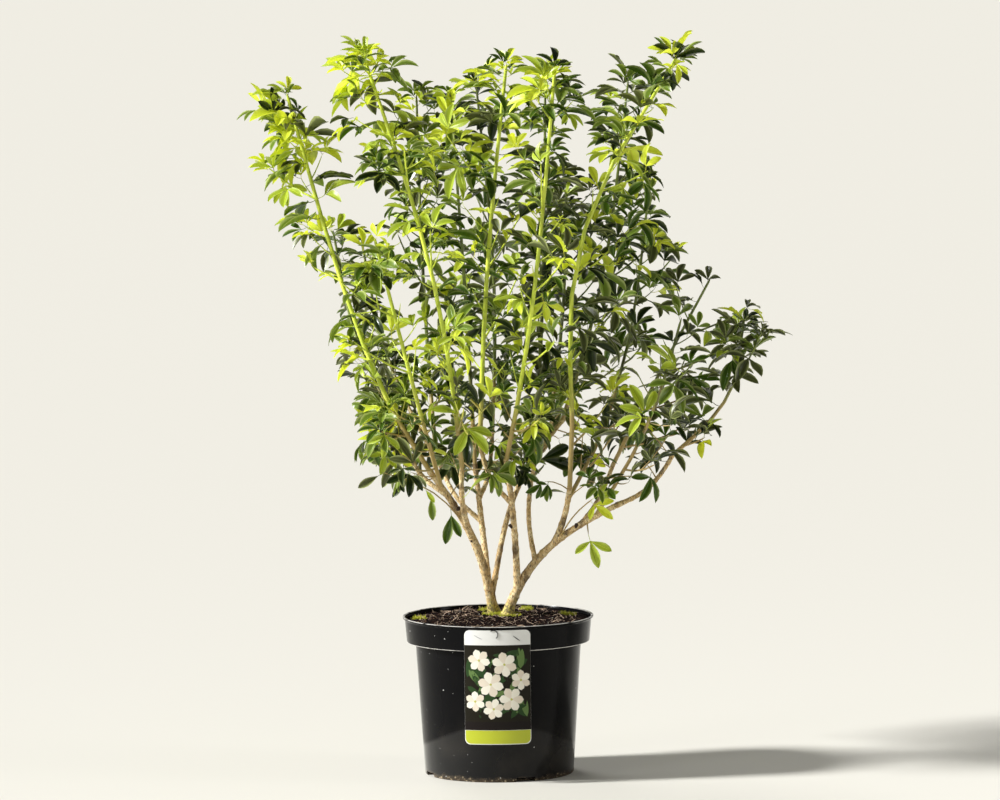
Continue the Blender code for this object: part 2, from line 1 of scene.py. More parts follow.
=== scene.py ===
# %% [markdown]
# # A potted evergreen shrub with three-part leaves
# The real thing is a young garden shrub in a black nursery pot. Two trunks stand in the compost,
# fork low down, and carry eighteen long leafy shoots. This file dresses the plain solids of the
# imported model: it loads them as a fixed frame and gives each one a finished piece in the same place.

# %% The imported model, and its box before anything is added
import json
import math
import random
from dataclasses import dataclass

import bmesh
import bpy
import mathutils
import numpy as np
from mathutils import Matrix, Vector

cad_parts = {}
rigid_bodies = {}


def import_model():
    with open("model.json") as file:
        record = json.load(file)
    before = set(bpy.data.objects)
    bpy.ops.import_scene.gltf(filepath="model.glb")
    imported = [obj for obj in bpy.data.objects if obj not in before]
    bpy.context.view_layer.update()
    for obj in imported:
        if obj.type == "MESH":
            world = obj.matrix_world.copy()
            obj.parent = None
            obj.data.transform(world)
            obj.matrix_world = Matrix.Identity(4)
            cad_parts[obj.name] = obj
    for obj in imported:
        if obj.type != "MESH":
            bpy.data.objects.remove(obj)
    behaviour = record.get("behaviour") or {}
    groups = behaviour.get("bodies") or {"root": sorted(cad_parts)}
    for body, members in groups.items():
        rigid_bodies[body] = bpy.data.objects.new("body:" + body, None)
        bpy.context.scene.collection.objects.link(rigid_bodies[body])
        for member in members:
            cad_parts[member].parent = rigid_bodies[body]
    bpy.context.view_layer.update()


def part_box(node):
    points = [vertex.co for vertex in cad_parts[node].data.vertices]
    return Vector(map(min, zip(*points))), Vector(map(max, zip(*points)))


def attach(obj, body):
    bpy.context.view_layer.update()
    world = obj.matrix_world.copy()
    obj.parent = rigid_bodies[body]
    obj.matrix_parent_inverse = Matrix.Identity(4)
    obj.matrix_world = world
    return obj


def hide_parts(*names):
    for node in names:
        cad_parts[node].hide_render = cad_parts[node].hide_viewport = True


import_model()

# %% [markdown]
# ## Camera
# The picture was taken from far away with a long lens, a little above the plant. A long lens keeps
# the pot's sides nearly parallel. The camera looks down by a few degrees, which opens the rim into
# a thin ellipse.

# %% Camera at the photograph's viewing angle
IMAGE_WIDTH = 1000
FOCAL_PIXELS = 6860.6
SENSOR_WIDTH = 36.0
CAMERA_PLACE = (0.0061, -10.0, 1.487)
CAMERA_DOWN = math.radians(5.357)
CAMERA_ROLL = -0.01


def in_scene(name, data):
    """A new object in the scene, from a mesh, a light or a camera."""
    made = bpy.data.objects.new(name, data)
    bpy.context.scene.collection.objects.link(made)
    return made


lens = bpy.data.cameras.new("camera")
lens.sensor_width = SENSOR_WIDTH
lens.lens = FOCAL_PIXELS * SENSOR_WIDTH / IMAGE_WIDTH
camera = in_scene("camera", lens)
tilt = Matrix.Rotation(math.pi / 2 - CAMERA_DOWN, 4, "X")
camera.matrix_world = Matrix.Translation(CAMERA_PLACE) @ tilt @ Matrix.Rotation(CAMERA_ROLL, 4, "Z")
bpy.context.scene.camera = camera
print(f"lens {lens.lens:.0f} mm")

# %% [markdown]
# ## Node trees from Python
# Materials and rules are both trees of nodes. Joining them by hand takes many lines, so one small
# class wraps a node's output and lets Python's own operators add Math nodes, and one method adds
# any other node. Its settings come first, because some of them change which sockets the node has.


# %% A node's output as a value, and one method that adds any node
class Value:
    """One output of a node. An operator on it adds a Math node."""

    def __init__(self, nodes, socket):
        self.nodes = nodes
        self.socket = socket

    def __getitem__(self, output):
        return Value(self.nodes, self.socket.node.outputs[output])


def operator(operation, reflected=False):
    """A method of Value that adds one Math node. Reflected, the other value comes first."""
    if reflected:
        return lambda value, other: value.nodes.maths(operation, other, value)
    return lambda value, other: value.nodes.maths(operation, value, other)


for sign, operation in (("add", "ADD"), ("sub", "SUBTRACT"), ("mul", "MULTIPLY")):
    setattr(Value, f"__{sign}__", operator(operation))
    setattr(Value, f"__r{sign}__", operator(operation, reflected=True))
Value.__lt__ = operator("LESS_THAN")
Value.__gt__ = operator("GREATER_THAN")


class Nodes:
    """A node tree, with one method that adds a node by its type, settings and sockets."""

    def __init__(self, tree):
        self.tree = tree

    def add(self, kind, settings=None, sockets=None):
        node = self.tree.nodes.new(kind)
        for name, value in (settings or {}).items():
            setattr(node, name, value)
        for name, value in (sockets or {}).items():
            if isinstance(value, Value):
                self.tree.links.new(value.socket, node.inputs[name])
            else:
                node.inputs[name].default_value = value
        return Value(self, node.outputs[0]) if node.outputs else None

    def maths(self, operation, *values):
        return self.add("ShaderNodeMath", {"operation": operation}, dict(enumerate(values)))


# %% [markdown]
# ## What the finishes share
# Every finish reads the piece's own place in metres, so a pattern has its real scale and stays
# where it is in any view. These few functions give noise, spots, soft steps, patches with soft edges
# and mixed colours.


# %% Patterns and colours for the finishes
def place(nodes, stretch=(1, 1, 1)):
    """The place on the piece, in metres, stretched where a pattern runs along it."""
    spot = nodes.add("ShaderNodeTexCoord")["Object"]
    if stretch == (1, 1, 1):
        return spot
    return nodes.add("ShaderNodeVectorMath", {"operation": "MULTIPLY"}, {0: spot, 1: stretch})


def coordinate(nodes, axis):
    """How far the place is along X, Y or Z."""
    return nodes.add("ShaderNodeSeparateXYZ", sockets={0: place(nodes)})[axis]


def noise(nodes, scale, detail=3.0, stretch=(1, 1, 1)):
    sockets = {"Vector": place(nodes, stretch), "Scale": scale, "Detail": detail}
    return nodes.add("ShaderNodeTexNoise", sockets=sockets)


def spots(nodes, scale, radius, share):
    """Round spots: one in each cell of a Voronoi pattern, in a share of the cells."""
    cells = nodes.add("ShaderNodeTexVoronoi", sockets={"Vector": place(nodes), "Scale": scale})
    chosen = nodes.add("ShaderNodeSeparateColor", sockets={0: cells["Color"]}) < share
    return (cells < radius) * chosen


def step(nodes, value, low, high):
    """0 below low, 1 above high and smooth between. With low above high it falls."""
    settings = {"interpolation_type": "SMOOTHSTEP"}
    return nodes.add("ShaderNodeMapRange", settings, {0: value, 1: low, 2: high})


def patches(nodes, scale, detail, low, high, stretch=(1, 1, 1)):
    """Patches of noise, 1 where it is above high."""
    return step(nodes, noise(nodes, scale, detail, stretch), low, high)


def mixed(nodes, share, first, second):
    """A mix of two colours, each three numbers or a value."""
    ends = [end if isinstance(end, Value) else (*end, 1.0) for end in (first, second)]
    settings = {"data_type": "RGBA"}
    return nodes.add("ShaderNodeMix", settings, {0: share, 6: ends[0], 7: ends[1]})[2]


def layered(nodes, colour, *layers):
    """A colour with others over it, each a share and a colour."""
    for share, over in layers:
        colour = mixed(nodes, share, colour, over)
    return colour


def bump(nodes, relief, distance):
    return nodes.add("ShaderNodeBump", sockets={"Height": relief, "Distance": distance})


def principled(nodes, colour, roughness, **others):
    """The Principled shader. A name such as specular_ior_level sets the socket of that name."""
    if not isinstance(colour, Value):
        colour = (*colour, 1.0)
    sockets = {"Base Color": colour, "Roughness": roughness}
    for name, value in others.items():
        sockets[name.replace("_", " ").title().replace("Ior", "IOR")] = value
    return nodes.add("ShaderNodeBsdfPrincipled", sockets=sockets)


def plain_look(colour, roughness, shine=0.5):
    return lambda nodes: principled(nodes, colour, roughness, specular_ior_level=shine)


def material(name, look):
    """A material whose shader look(nodes) builds."""
    made = bpy.data.materials.new(name)
    made.use_nodes = True
    made.node_tree.nodes.clear()
    nodes = Nodes(made.node_tree)
    nodes.add("ShaderNodeOutputMaterial", sockets={"Surface": look(nodes)})
    return made


# %% [markdown]
# ## Floor and light
# A plain pale floor runs back as far as the camera sees, so that it is the backdrop too. A dim pale
# sky fills the shade a little.

# %% Floor and sky
FLOOR_REACH = 70.0
FLOOR_COLOUR = (0.760, 0.740, 0.672)
SKY_COLOUR = (1.0, 0.99, 0.955)
SKY_STRENGTH = 0.11

floor_mesh = bpy.data.meshes.new("floor")
corners = [(x * FLOOR_REACH, y * FLOOR_REACH, 0) for x, y in ((-1, -1), (1, -1), (1, 1), (-1, 1))]
floor_mesh.from_pydata(corners, [], [(0, 1, 2, 3)])
floor_mesh.materials.append(material("floor", plain_look(FLOOR_COLOUR, 0.9, 0.1)))
floor = in_scene("floor", floor_mesh)

sky = bpy.data.worlds.new("sky")
sky.use_nodes = True
sky_nodes = sky.node_tree.nodes
sky_nodes["Background"].inputs["Color"].default_value = (*SKY_COLOUR, 1.0)
sky_nodes["Background"].inputs["Strength"].default_value = SKY_STRENGTH
bpy.context.scene.world = sky
bpy.context.scene.view_settings.view_transform = "Standard"

# %% [markdown]
# The key lamp stands low at the left, so that stems are light on their left sides and dark on their
# right. A weaker one behind lets thin leaves glow. Two tall soft boxes draw upright streaks on the
# shiny pot.

# %% Two suns and two soft boxes
# Each sun: where it stands, its strength, and how wide it looks in degrees.
SUNS = {
    "key": ((-1.75, -0.35, 1.0), 5.8, 9),
    "behind": ((-0.30, 0.80, 1.0), 0.65, 20),
}
SOFT_BOXES = {
    "box_left": ((-2.0, -2.0, 1.1), 11.0),
    "box_right": ((2.6, -0.7, 0.9), 14.0),
}
BOX_SIZE = (0.5, 2.2)
BOX_AIM = Vector((0, 0, 0.55))


def hang(light, spot, shine):
    """Hangs a light at a spot, where it shines in a direction."""
    lamp = in_scene(light.name, light)
    lamp.location = spot
    lamp.rotation_euler = shine.to_track_quat("-Z", "Y").to_euler()


for name, (toward, strength, degrees) in SUNS.items():
    sun = bpy.data.lights.new(name, "SUN")
    sun.energy = strength
    sun.angle = math.radians(degrees)
    hang(sun, (0, 0, 0), -Vector(toward))
for name, (spot, power) in SOFT_BOXES.items():
    box = bpy.data.lights.new(name, "AREA")
    box.shape = "RECTANGLE"
    box.size, box.size_y = BOX_SIZE
    box.energy = power
    hang(box, spot, BOX_AIM - Vector(spot))
print("lamps:", ", ".join([*SUNS, *SOFT_BOXES]))

# %% [markdown]
# ## Putting pieces into the scene
# A piece is a mesh at the origin with its faces outwards. Curved walls are shaded smooth, and the
# edge between two walls stays sharp past an angle.

# %% Helpers that make a piece from a mesh
SHARP = math.radians(35)
ROOT = "root"


def new_object(name, mesh, *finishes):
    for finish in finishes:
        mesh.materials.append(finish)
    return in_scene(name, mesh)


def mesh_from(work, name, sharp=SHARP):
    """A mesh from a bmesh, with its normals outwards and its shading smooth up to an angle."""
    bmesh.ops.recalc_face_normals(work, faces=work.faces)
    mesh = bpy.data.meshes.new(name)
    work.to_mesh(mesh)
    work.free()
    mesh.shade_smooth()
    mesh.set_sharp_from_angle(angle=sharp)
    return mesh


def applied(made):
    """Replaces an object's mesh with the one that its modifiers make."""
    graph = bpy.context.evaluated_depsgraph_get()
    finished = bpy.data.meshes.new_from_object(made.evaluated_get(graph))
    made.modifiers.clear()
    made.data = finished
    return made


def hand_over(piece, slot, *nodes):
    """Rides the piece on the plant's only body, in place of these CAD nodes."""
    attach(piece, ROOT)
    if nodes:
        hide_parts(*nodes)
    print(f"{piece.name}: {len(piece.data.polygons)} faces")


# %% [markdown]
# ## Pot
# A nursery pot is blown or moulded in thin black plastic: a tapering body, a deep skirt that hands
# and machines grip, and a flared lip. One profile turned round the axis makes it, as on a lathe.
# Its corners are rounded first, because it is the rounded edges that catch the light. Each corner
# of the profile is a radius, a height, and how far the corner is cut back to round it.

# %% The pot's profile, from the frame's own box
POT_LOW, POT_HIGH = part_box("pot")
POT_HEIGHT = POT_HIGH.z
LIP_RADIUS = POT_HIGH.x
LIP_DEPTH = 0.0022
SKIRT_TOP_RADIUS = 0.137
SKIRT_FOOT_RADIUS = 0.134
SKIRT_FOOT = 0.195
BODY_TOP_RADIUS = 0.1215
FOOT_RADIUS = 0.109
WALL = 0.0016
POT_FLOOR = 0.003
POT_STEPS = 144
CORNER_STEPS = 4


def rounded(corners):
    """A profile of (radius, height) from corners of (radius, height, how far the corner is cut)."""
    profile = []
    for before, (radius, level, cut), after in zip(corners, corners[1:], corners[2:]):
        here = Vector((radius, level))
        start = here + (Vector(before[:2]) - here).normalized() * cut
        end = here + (Vector(after[:2]) - here).normalized() * cut
        for number in range(CORNER_STEPS + 1 if cut else 1):
            share = number / CORNER_STEPS
            profile.append(start.lerp(here, share).lerp(here.lerp(end, share), share))
    return [Vector(corners[0][:2]), *profile, Vector(corners[-1][:2])]


def turned(name, corners, steps):
    """A solid turned round Z, whose profile starts and ends on the axis."""
    work = bmesh.new()
    points = [work.verts.new((spot.x, 0, spot.y)) for spot in rounded(corners)]
    edges = [work.edges.new(pair) for pair in zip(points, points[1:])]
    centre, axis = (0, 0, 0), (0, 0, 1)
    geometry = points + edges
    bmesh.ops.spin(work, geom=geometry, cent=centre, axis=axis, angle=math.tau, steps=steps)
    bmesh.ops.remove_doubles(work, verts=work.verts, dist=1e-6)
    return new_object(name, mesh_from(work, name))


def body_radius(level):
    return FOOT_RADIUS + (BODY_TOP_RADIUS - FOOT_RADIUS) * level / SKIRT_FOOT


lip_foot = POT_HEIGHT - LIP_DEPTH
ledge = SKIRT_FOOT + WALL
pot = turned(
    "pot_shell",
    [
        (0, 0, 0),
        (FOOT_RADIUS, 0, 0.0025),
        (BODY_TOP_RADIUS, SKIRT_FOOT, 0.0015),
        (SKIRT_FOOT_RADIUS, SKIRT_FOOT, 0.0010),
        (SKIRT_TOP_RADIUS, lip_foot - LIP_DEPTH, 0.0010),
        (LIP_RADIUS, lip_foot, 0.0006),
        (LIP_RADIUS, POT_HEIGHT, 0.0006),
        (LIP_RADIUS - 2 * WALL, POT_HEIGHT, 0.0006),
        (SKIRT_TOP_RADIUS - WALL, lip_foot - LIP_DEPTH, 0.0006),
        (SKIRT_FOOT_RADIUS - WALL, ledge, 0.0008),
        (body_radius(ledge) - WALL, ledge, 0.0008),
        (body_radius(POT_FLOOR) - WALL, POT_FLOOR, 0.0010),
        (0, POT_FLOOR, 0),
    ],
    POT_STEPS,
)

# %% [markdown]
# Four low arches at the foot let water out. Each is a box cut out of the wall, as on the solid.

# %% The drain notches
NOTCH_COUNT = 4
NOTCH_SIZE = (0.020, 0.029, 0.012)
FIRST_NOTCH = math.radians(-69.2)

for number in range(NOTCH_COUNT):
    work = bmesh.new()
    bmesh.ops.create_cube(work, size=1, matrix=Matrix.Diagonal((*NOTCH_SIZE, 1)))
    bmesh.ops.translate(work, verts=work.verts, vec=(FOOT_RADIUS, 0, 0))
    turn = Matrix.Rotation(FIRST_NOTCH + number * math.tau / NOTCH_COUNT, 3, "Z")
    bmesh.ops.rotate(work, verts=work.verts, matrix=turn)
    cutter = new_object("notch_cutter", mesh_from(work, "notch_cutter"))
    cut = pot.modifiers.new("Notch", "BOOLEAN")
    cut.operation = "DIFFERENCE"
    cut.object = cutter
    applied(pot)
    bpy.data.objects.remove(cutter)
pot.data.shade_smooth()
pot.data.set_sharp_from_angle(angle=SHARP)

# %% [markdown]
# Black plastic is never quite black outdoors: it carries a haze of dust, pale specks and splashed soil
# along the foot. Pale lines along the top of the lip and the foot of the skirt are painted highlights.
# All of these are masks over one dark colour. A coat lies on the lower part, up to a line that bows
# down at the sides, and is thicker at the lit left: a painted sheen where the floor's reflection shows.

# %% Black plastic with dust, specks, splashed soil, painted highlights and a painted sheen
PLASTIC = (0.0035, 0.0035, 0.0040)
DUST = (0.022, 0.019, 0.016)
SPECK = (0.42, 0.42, 0.40)
SPLASH = (0.115, 0.082, 0.048)
PALE_GRIT = (0.42, 0.34, 0.22)
# The pale colour of the painted highlights along the lip and the skirt's foot, and how deep they reach.
PAINTED_EDGE_HIGHLIGHT = (0.66, 0.64, 0.60)
EDGE_HIGHLIGHT_DEPTH = 0.0010
SPLASH_TOP = 0.017
SPLASH_FOOT = 0.010
HAZE_TOP = 0.13
HAZE_FOOT = 0.02
GLOSS = 0.07
# Where the painted sheen on the lower part stops, how soft its edge is and how far it bows down at the
# sides.
SHEEN_TOP = 0.090
SHEEN_EDGE = 0.008
SHEEN_BOW = 3.3
LIT_SIDE = (0.03, -0.09)


def pot_look(nodes):
    level, across = coordinate(nodes, "Z"), coordinate(nodes, "X")
    left = step(nodes, across, *LIT_SIDE)
    haze = patches(nodes, 14, 4, 0.40, 0.74) * (0.10 + step(nodes, level, HAZE_TOP, HAZE_FOOT) * 0.75)
    # A painted sheen standing in for the floor's reflection: a coat on the lower part only, thicker on the
    # lit left side.
    painted_sheen = step(nodes, level + across * across * SHEEN_BOW, SHEEN_TOP, SHEEN_TOP - SHEEN_EDGE)
    specks = spots(nodes, 62, 0.060, 0.20) + spots(nodes, 150, 0.085, 0.16) * left
    splash = step(nodes, level + noise(nodes, 90, 4) * 0.016, SPLASH_TOP, SPLASH_FOOT)
    crumbs = patches(nodes, 420, 2, 0.50, 0.62)
    grit = patches(nodes, 310, 3, 0.60, 0.66)
    # Painted highlights along the top of the lip and the foot of the skirt, broken up by patches.
    lip = step(nodes, level, POT_HEIGHT - EDGE_HIGHLIGHT_DEPTH, POT_HEIGHT - EDGE_HIGHLIGHT_DEPTH / 3)
    band = step(nodes, level, SKIRT_FOOT - 0.0004, SKIRT_FOOT) * (level < SKIRT_FOOT + EDGE_HIGHLIGHT_DEPTH)
    edge_highlight = (lip * 0.9 + band) * patches(nodes, 60, 3, 0.30, 0.52)
    soiled = ((haze, DUST), (splash * (0.35 + crumbs * 0.55), SPLASH), (splash * grit, PALE_GRIT))
    colour = layered(nodes, PLASTIC, *soiled, (edge_highlight, PAINTED_EDGE_HIGHLIGHT), (specks, SPECK))
    rough = 0.15 + haze * 0.20 + splash * 0.50 + specks * 0.5
    relief = noise(nodes, 38, 2) * 0.5 + crumbs * splash
    return principled(
        nodes,
        colour,
        rough,
        specular_ior_level=GLOSS,
        coat_weight=painted_sheen * (0.22 + left * 0.45),
        normal=bump(nodes, relief, 0.0004),
    )


pot.data.materials.clear()
pot.data.materials.append(material("black_plastic", pot_look))
hand_over(pot, "pot_plastic", "pot")

# %% [markdown]
# ## Geometry from rules
# Two rules make most of the plant: one puts copies of small models onto points, the other turns
# lines into limbs. Both are trees of Geometry Nodes. A carrier mesh brings the points or lines, and
# attributes on it say how each copy or stretch of limb should be.


# %% Building a rule, and running it on a carrier
def rule(name, inputs):
    """An empty geometry tree with these inputs. It gives the tree, its nodes and its input node."""
    tree = bpy.data.node_groups.new(name, "GeometryNodeTree")
    tree.interface.new_socket("Geometry", in_out="INPUT", socket_type="NodeSocketGeometry")
    tree.interface.new_socket("Geometry", in_out="OUTPUT", socket_type="NodeSocketGeometry")
    for label, kind in inputs.items():
        tree.interface.new_socket(label, in_out="INPUT", socket_type=f"NodeSocket{kind}")
    nodes = Nodes(tree)
    return tree, nodes, nodes.add("NodeGroupInput")


def named(nodes, name, kind="FLOAT"):
    return nodes.add("GeometryNodeInputNamedAttribute", {"data_type": kind}, {"Name": name})


def grown(name, carrier, tree, values):
    """Runs a geometry tree on a carrier mesh and keeps the result as a plain mesh."""
    holder = new_object(name, carrier)
    modifier = holder.modifiers.new("Rule", "NODES")
    modifier.node_group = tree
    for socket in tree.interface.items_tree:
        if socket.in_out == "INPUT" and socket.name in values:
            modifier[socket.identifier] = values[socket.name]
    return applied(holder)


def carry(mesh, label, values, kind="FLOAT", domain="POINT"):
    """Gives a mesh an attribute, with a value for each of its points or faces."""
    slot = "vector" if kind == "FLOAT_VECTOR" else "value"
    mesh.attributes.new(label, kind, domain).data.foreach_set(slot, values)


# %% [markdown]
# ## Copies of small things
# Leaves, crumbs, fibres and moss are all a few small shapes repeated. Each shape is modelled once
# and put on a shelf. Points carry a turn, a size and a choice of shape, and the rule puts a copy on
# each point and makes it real. A share of chance from the rule's own seed is added to the sizes.


# %% A rule that copies small models onto points
def copy_rule():
    inputs = {
        "Models": "Collection",
        "Model size": "Float",
        "Uneven": "Float",
        "Seed": "Int",
        "Finish": "Material",
        "Rib finish": "Material",
    }
    tree, nodes, given = rule("copy_rule", inputs)
    models = nodes.add(
        "GeometryNodeCollectionInfo",
        sockets={"Collection": given["Models"], "Separate Children": True, "Reset Children": True},
    )
    turn = nodes.add("FunctionNodeEulerToRotation", sockets={0: named(nodes, "turn", "FLOAT_VECTOR")})
    luck = nodes.add("FunctionNodeRandomValue", {"data_type": "FLOAT"}, {"Seed": given["Seed"]})[1]
    size = named(nodes, "size") * given["Model size"] * (1 + (luck - 0.5) * given["Uneven"])
    copies = nodes.add(
        "GeometryNodeInstanceOnPoints",
        sockets={
            "Points": given["Geometry"],
            "Instance": models,
            "Pick Instance": True,
            "Instance Index": named(nodes, "model", "INT"),
            "Rotation": turn,
            "Scale": size,
        },
    )
    real = nodes.add("GeometryNodeRealizeInstances", sockets={"Geometry": copies})
    whole = nodes.add("GeometryNodeSetMaterial", sockets={"Geometry": real, "Material": given["Finish"]})
    rib = {"Geometry": whole, "Selection": named(nodes, "rib", "BOOLEAN"), "Material": given["Rib finish"]}
    nodes.add("NodeGroupOutput", sockets={"Geometry": nodes.add("GeometryNodeSetMaterial", sockets=rib)})
    return tree


COPY_RULE = copy_rule()
COPY_SEED = 11
UNEVEN = 0.1


@dataclass
class Copy:
    """One copy of a small model: its foot, its turn, its size, which model it is and its tone."""

    foot: Vector
    turn: tuple
    size: float
    model: int
    tone: str = ""


def shelf(name, meshes):
    """A collection of models to copy. It isn't in the scene, so only the copies are."""
    made = bpy.data.collections.new(name)
    for number, mesh in enumerate(meshes):
        made.objects.link(bpy.data.objects.new(f"{name}_{number}", mesh))
    return made


def copied(name, copies, models, finish, rib_finish=None):
    """A piece of many copies, from points that carry how each one stands."""
    mesh = bpy.data.meshes.new(name)
    mesh.from_pydata([tuple(copy.foot) for copy in copies], [], [])
    carry(mesh, "turn", [angle for copy in copies for angle in copy.turn], "FLOAT_VECTOR")
    carry(mesh, "size", [copy.size for copy in copies])
    carry(mesh, "model", [copy.model for copy in copies], "INT")
    values = {"Models": models, "Model size": 1.0, "Uneven": UNEVEN, "Seed": COPY_SEED}
    values |= {"Finish": finish, "Rib finish": rib_finish or finish}
    return grown(name, mesh, COPY_RULE, values)


# %% [markdown]
# ## Compost
# Potting compost is dark bark and peat, level with the lip round the stems and a little lower at
# the wall. Its surface is lumpy at several scales, so noise of three sizes shapes it. It is a
# closed solid inside the skirt.

# %% The compost's surface
GAP = 0.0003
SOIL_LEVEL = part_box("soil")[1].z
SOIL_MOUND = 0.045
SOIL_EDGE = 0.1349
SOIL_EDGE_LEVEL = 0.2255
SOIL_SHOULDER_FALL = 0.4
SOIL_FOOT = 0.1319
SOIL_RINGS = 62
SOIL_STEPS = 200
LUMPS = ((28, 0.0022), (120, 0.0013), (340, 0.0006))
EDGE_FADE = 0.010
LUMP_SHARP = math.radians(75)


def on_circle(radius, turn, level):
    return (radius * math.cos(turn), radius * math.sin(turn), level)


def soil_level(x, y):
    """The height of the compost at a place: a low mound with lumps of three sizes."""
    radius = math.hypot(x, y)
    shoulder = SOIL_LEVEL + (SOIL_EDGE_LEVEL - SOIL_LEVEL) * SOIL_SHOULDER_FALL
    rings = (0, SOIL_MOUND, (SOIL_MOUND + SOIL_EDGE) / 2, SOIL_EDGE)
    level = np.interp(radius, rings, (SOIL_LEVEL, SOIL_LEVEL, shoulder, SOIL_EDGE_LEVEL))
    fade = min(1.0, max(0.0, (SOIL_EDGE - radius) / EDGE_FADE))
    for scale, rise in LUMPS:
        level += rise * fade * mathutils.noise.noise(Vector((x, y, 0)) * scale)
    return float(level)


def soil_solid():
    work = bmesh.new()
    turns = [number * math.tau / SOIL_STEPS for number in range(SOIL_STEPS)]
    rings = []
    for number in range(1, SOIL_RINGS + 1):
        radius = SOIL_EDGE * number / SOIL_RINGS
        places = [on_circle(radius, turn, 0) for turn in turns]
        rings.append([work.verts.new((x, y, soil_level(x, y))) for x, y, _ in places])
    rings.append([work.verts.new(on_circle(SOIL_FOOT, turn, ledge + GAP)) for turn in turns])
    centre = work.verts.new((0, 0, soil_level(0, 0)))
    for here in range(SOIL_STEPS):
        after = (here + 1) % SOIL_STEPS
        work.faces.new((centre, rings[0][here], rings[0][after]))
        for inner, outer in zip(rings, rings[1:]):
            work.faces.new((inner[here], outer[here], outer[after], inner[after]))
    work.faces.new(rings[-1])
    return mesh_from(work, "compost", LUMP_SHARP)


# %% [markdown]
# Wet compost is nearly black, with redder bark and a few dry crumbs, and it hardly shines.

# %% The finish of the compost
PEAT = (0.005, 0.0026, 0.0022)
BARK_MULCH = (0.016, 0.007, 0.005)
DRY_PEAT = (0.06, 0.034, 0.022)


def compost_look(nodes):
    mulch, dry = patches(nodes, 210, 4, 0.42, 0.62), patches(nodes, 700, 3, 0.60, 0.70)
    colour = layered(nodes, PEAT, (mulch, BARK_MULCH), (dry, DRY_PEAT))
    lumps = bump(nodes, noise(nodes, 420, 5), 0.002)
    return principled(nodes, colour, 0.9, specular_ior_level=0.08, normal=lumps)


compost = new_object("compost", soil_solid(), material("compost", compost_look))
hand_over(compost, "compost", "soil")

# %% [markdown]
# Loose bits lie on it: dark crumbs of bark, pale chips, curved fibres of coir, a few white grains,
# and tufts of moss that have come up in patches and round the foot of the stems.

# %% Models of the loose bits
CRUMB_WIDTHS = (0.45, 0.8)
CRUMB_HEIGHTS = (0.3, 0.5)
CRUMB_ROUGHNESS = (0.7, 1.3)
CRUMB_SHARP = math.radians(20)
FIBRE_STEPS = 6
FIBRE_HALF = 0.008
FIBRE_BENDS = (-1.1, 1.1)
FIBRE_LIFTS = (0.1, 0.5)
MOSS_BLADES = 10
BLADE_HALF = 0.09
BLADE_LEANS = (0.1, 0.9)
BLADE_FEET = (0, 0.3)
BLADE_HEIGHTS = (0.6, 1.0)
MODEL_KINDS = 5
MODEL_SEED = 60
STREWN_REACH = SOIL_EDGE - 0.005


def crumb_mesh(number):
    """A rough flat lump, one unit long."""
    chance = random.Random(MODEL_SEED + number)
    work = bmesh.new()
    bmesh.ops.create_icosphere(work, subdivisions=1, radius=0.5)
    flat = (1, chance.uniform(*CRUMB_WIDTHS), chance.uniform(*CRUMB_HEIGHTS))
    for vert in work.verts:
        shaped = Vector([part * share for part, share in zip(vert.co, flat)])
        vert.co = shaped * chance.uniform(*CRUMB_ROUGHNESS)
    return mesh_from(work, "crumb", CRUMB_SHARP)


def fibre_mesh(number):
    """A curved three-sided fibre, one unit long."""
    chance = random.Random(MODEL_SEED + number)
    bend, lift = chance.uniform(*FIBRE_BENDS), chance.uniform(*FIBRE_LIFTS)
    work = bmesh.new()
    rings = []
    for point in range(FIBRE_STEPS):
        run = point / (FIBRE_STEPS - 1) - 0.5
        middle = Vector((run, bend * (0.25 - run * run), lift * (0.25 - run * run)))
        corners = ((FIBRE_HALF, 0), (-FIBRE_HALF, FIBRE_HALF), (-FIBRE_HALF, -FIBRE_HALF))
        rings.append([work.verts.new(middle + Vector((0, y, z))) for z, y in corners])
    for ring, after in zip(rings, rings[1:]):
        for side in range(3):
            work.faces.new((ring[side], ring[(side + 1) % 3], after[(side + 1) % 3], after[side]))
    for cap in (rings[0], rings[-1]):
        work.faces.new(cap)
    return mesh_from(work, "fibre")


def moss_mesh(number):
    """A tuft of moss, one unit high: thin pointed blades from one foot."""
    chance = random.Random(MODEL_SEED + number)
    work = bmesh.new()
    for blade in range(MOSS_BLADES):
        turn, lean = chance.uniform(0, math.tau), chance.uniform(*BLADE_LEANS)
        aside = Vector(on_circle(1, turn, 0))
        foot = aside * chance.uniform(*BLADE_FEET)
        tip = work.verts.new(foot + aside * lean + Vector((0, 0, chance.uniform(*BLADE_HEIGHTS))))
        turns = [turn + corner * math.tau / 3 for corner in range(3)]
        ring = [work.verts.new(foot + BLADE_HALF * Vector(on_circle(1, around, 0))) for around in turns]
        work.faces.new(ring)
        for here, there in zip(ring, ring[1:] + ring[:1]):
            work.faces.new((here, there, tip))
    return mesh_from(work, "moss")


print(MODEL_KINDS, "models of each kind of loose bit")

# %% [markdown]
# Each kind has its own colour, number and sizes, and small bits are commoner than large ones. The
# rule that copies them is the same for all. Moss stands close in round patches.


# %% Loose bits on the compost
def scattered(count, sizes, seed, lean, centre=(0, 0), reach=STREWN_REACH):
    """Copies laid on the compost round a centre, each turned and leant by chance."""
    chance = random.Random(seed)
    copies = []
    while len(copies) < count:
        away, turn = reach * math.sqrt(chance.random()), chance.uniform(0, math.tau)
        x, y = centre[0] + away * math.cos(turn), centre[1] + away * math.sin(turn)
        size = sizes[0] + (sizes[1] - sizes[0]) * chance.random() ** 2
        if math.hypot(x, y) + size / 2 > SOIL_EDGE - GAP:
            continue
        foot = Vector((x, y, soil_level(x, y)))
        angles = (chance.gauss(0, lean), chance.gauss(0, lean), chance.uniform(0, math.tau))
        copies.append(Copy(foot, angles, size, chance.randrange(MODEL_KINDS)))
    return copies


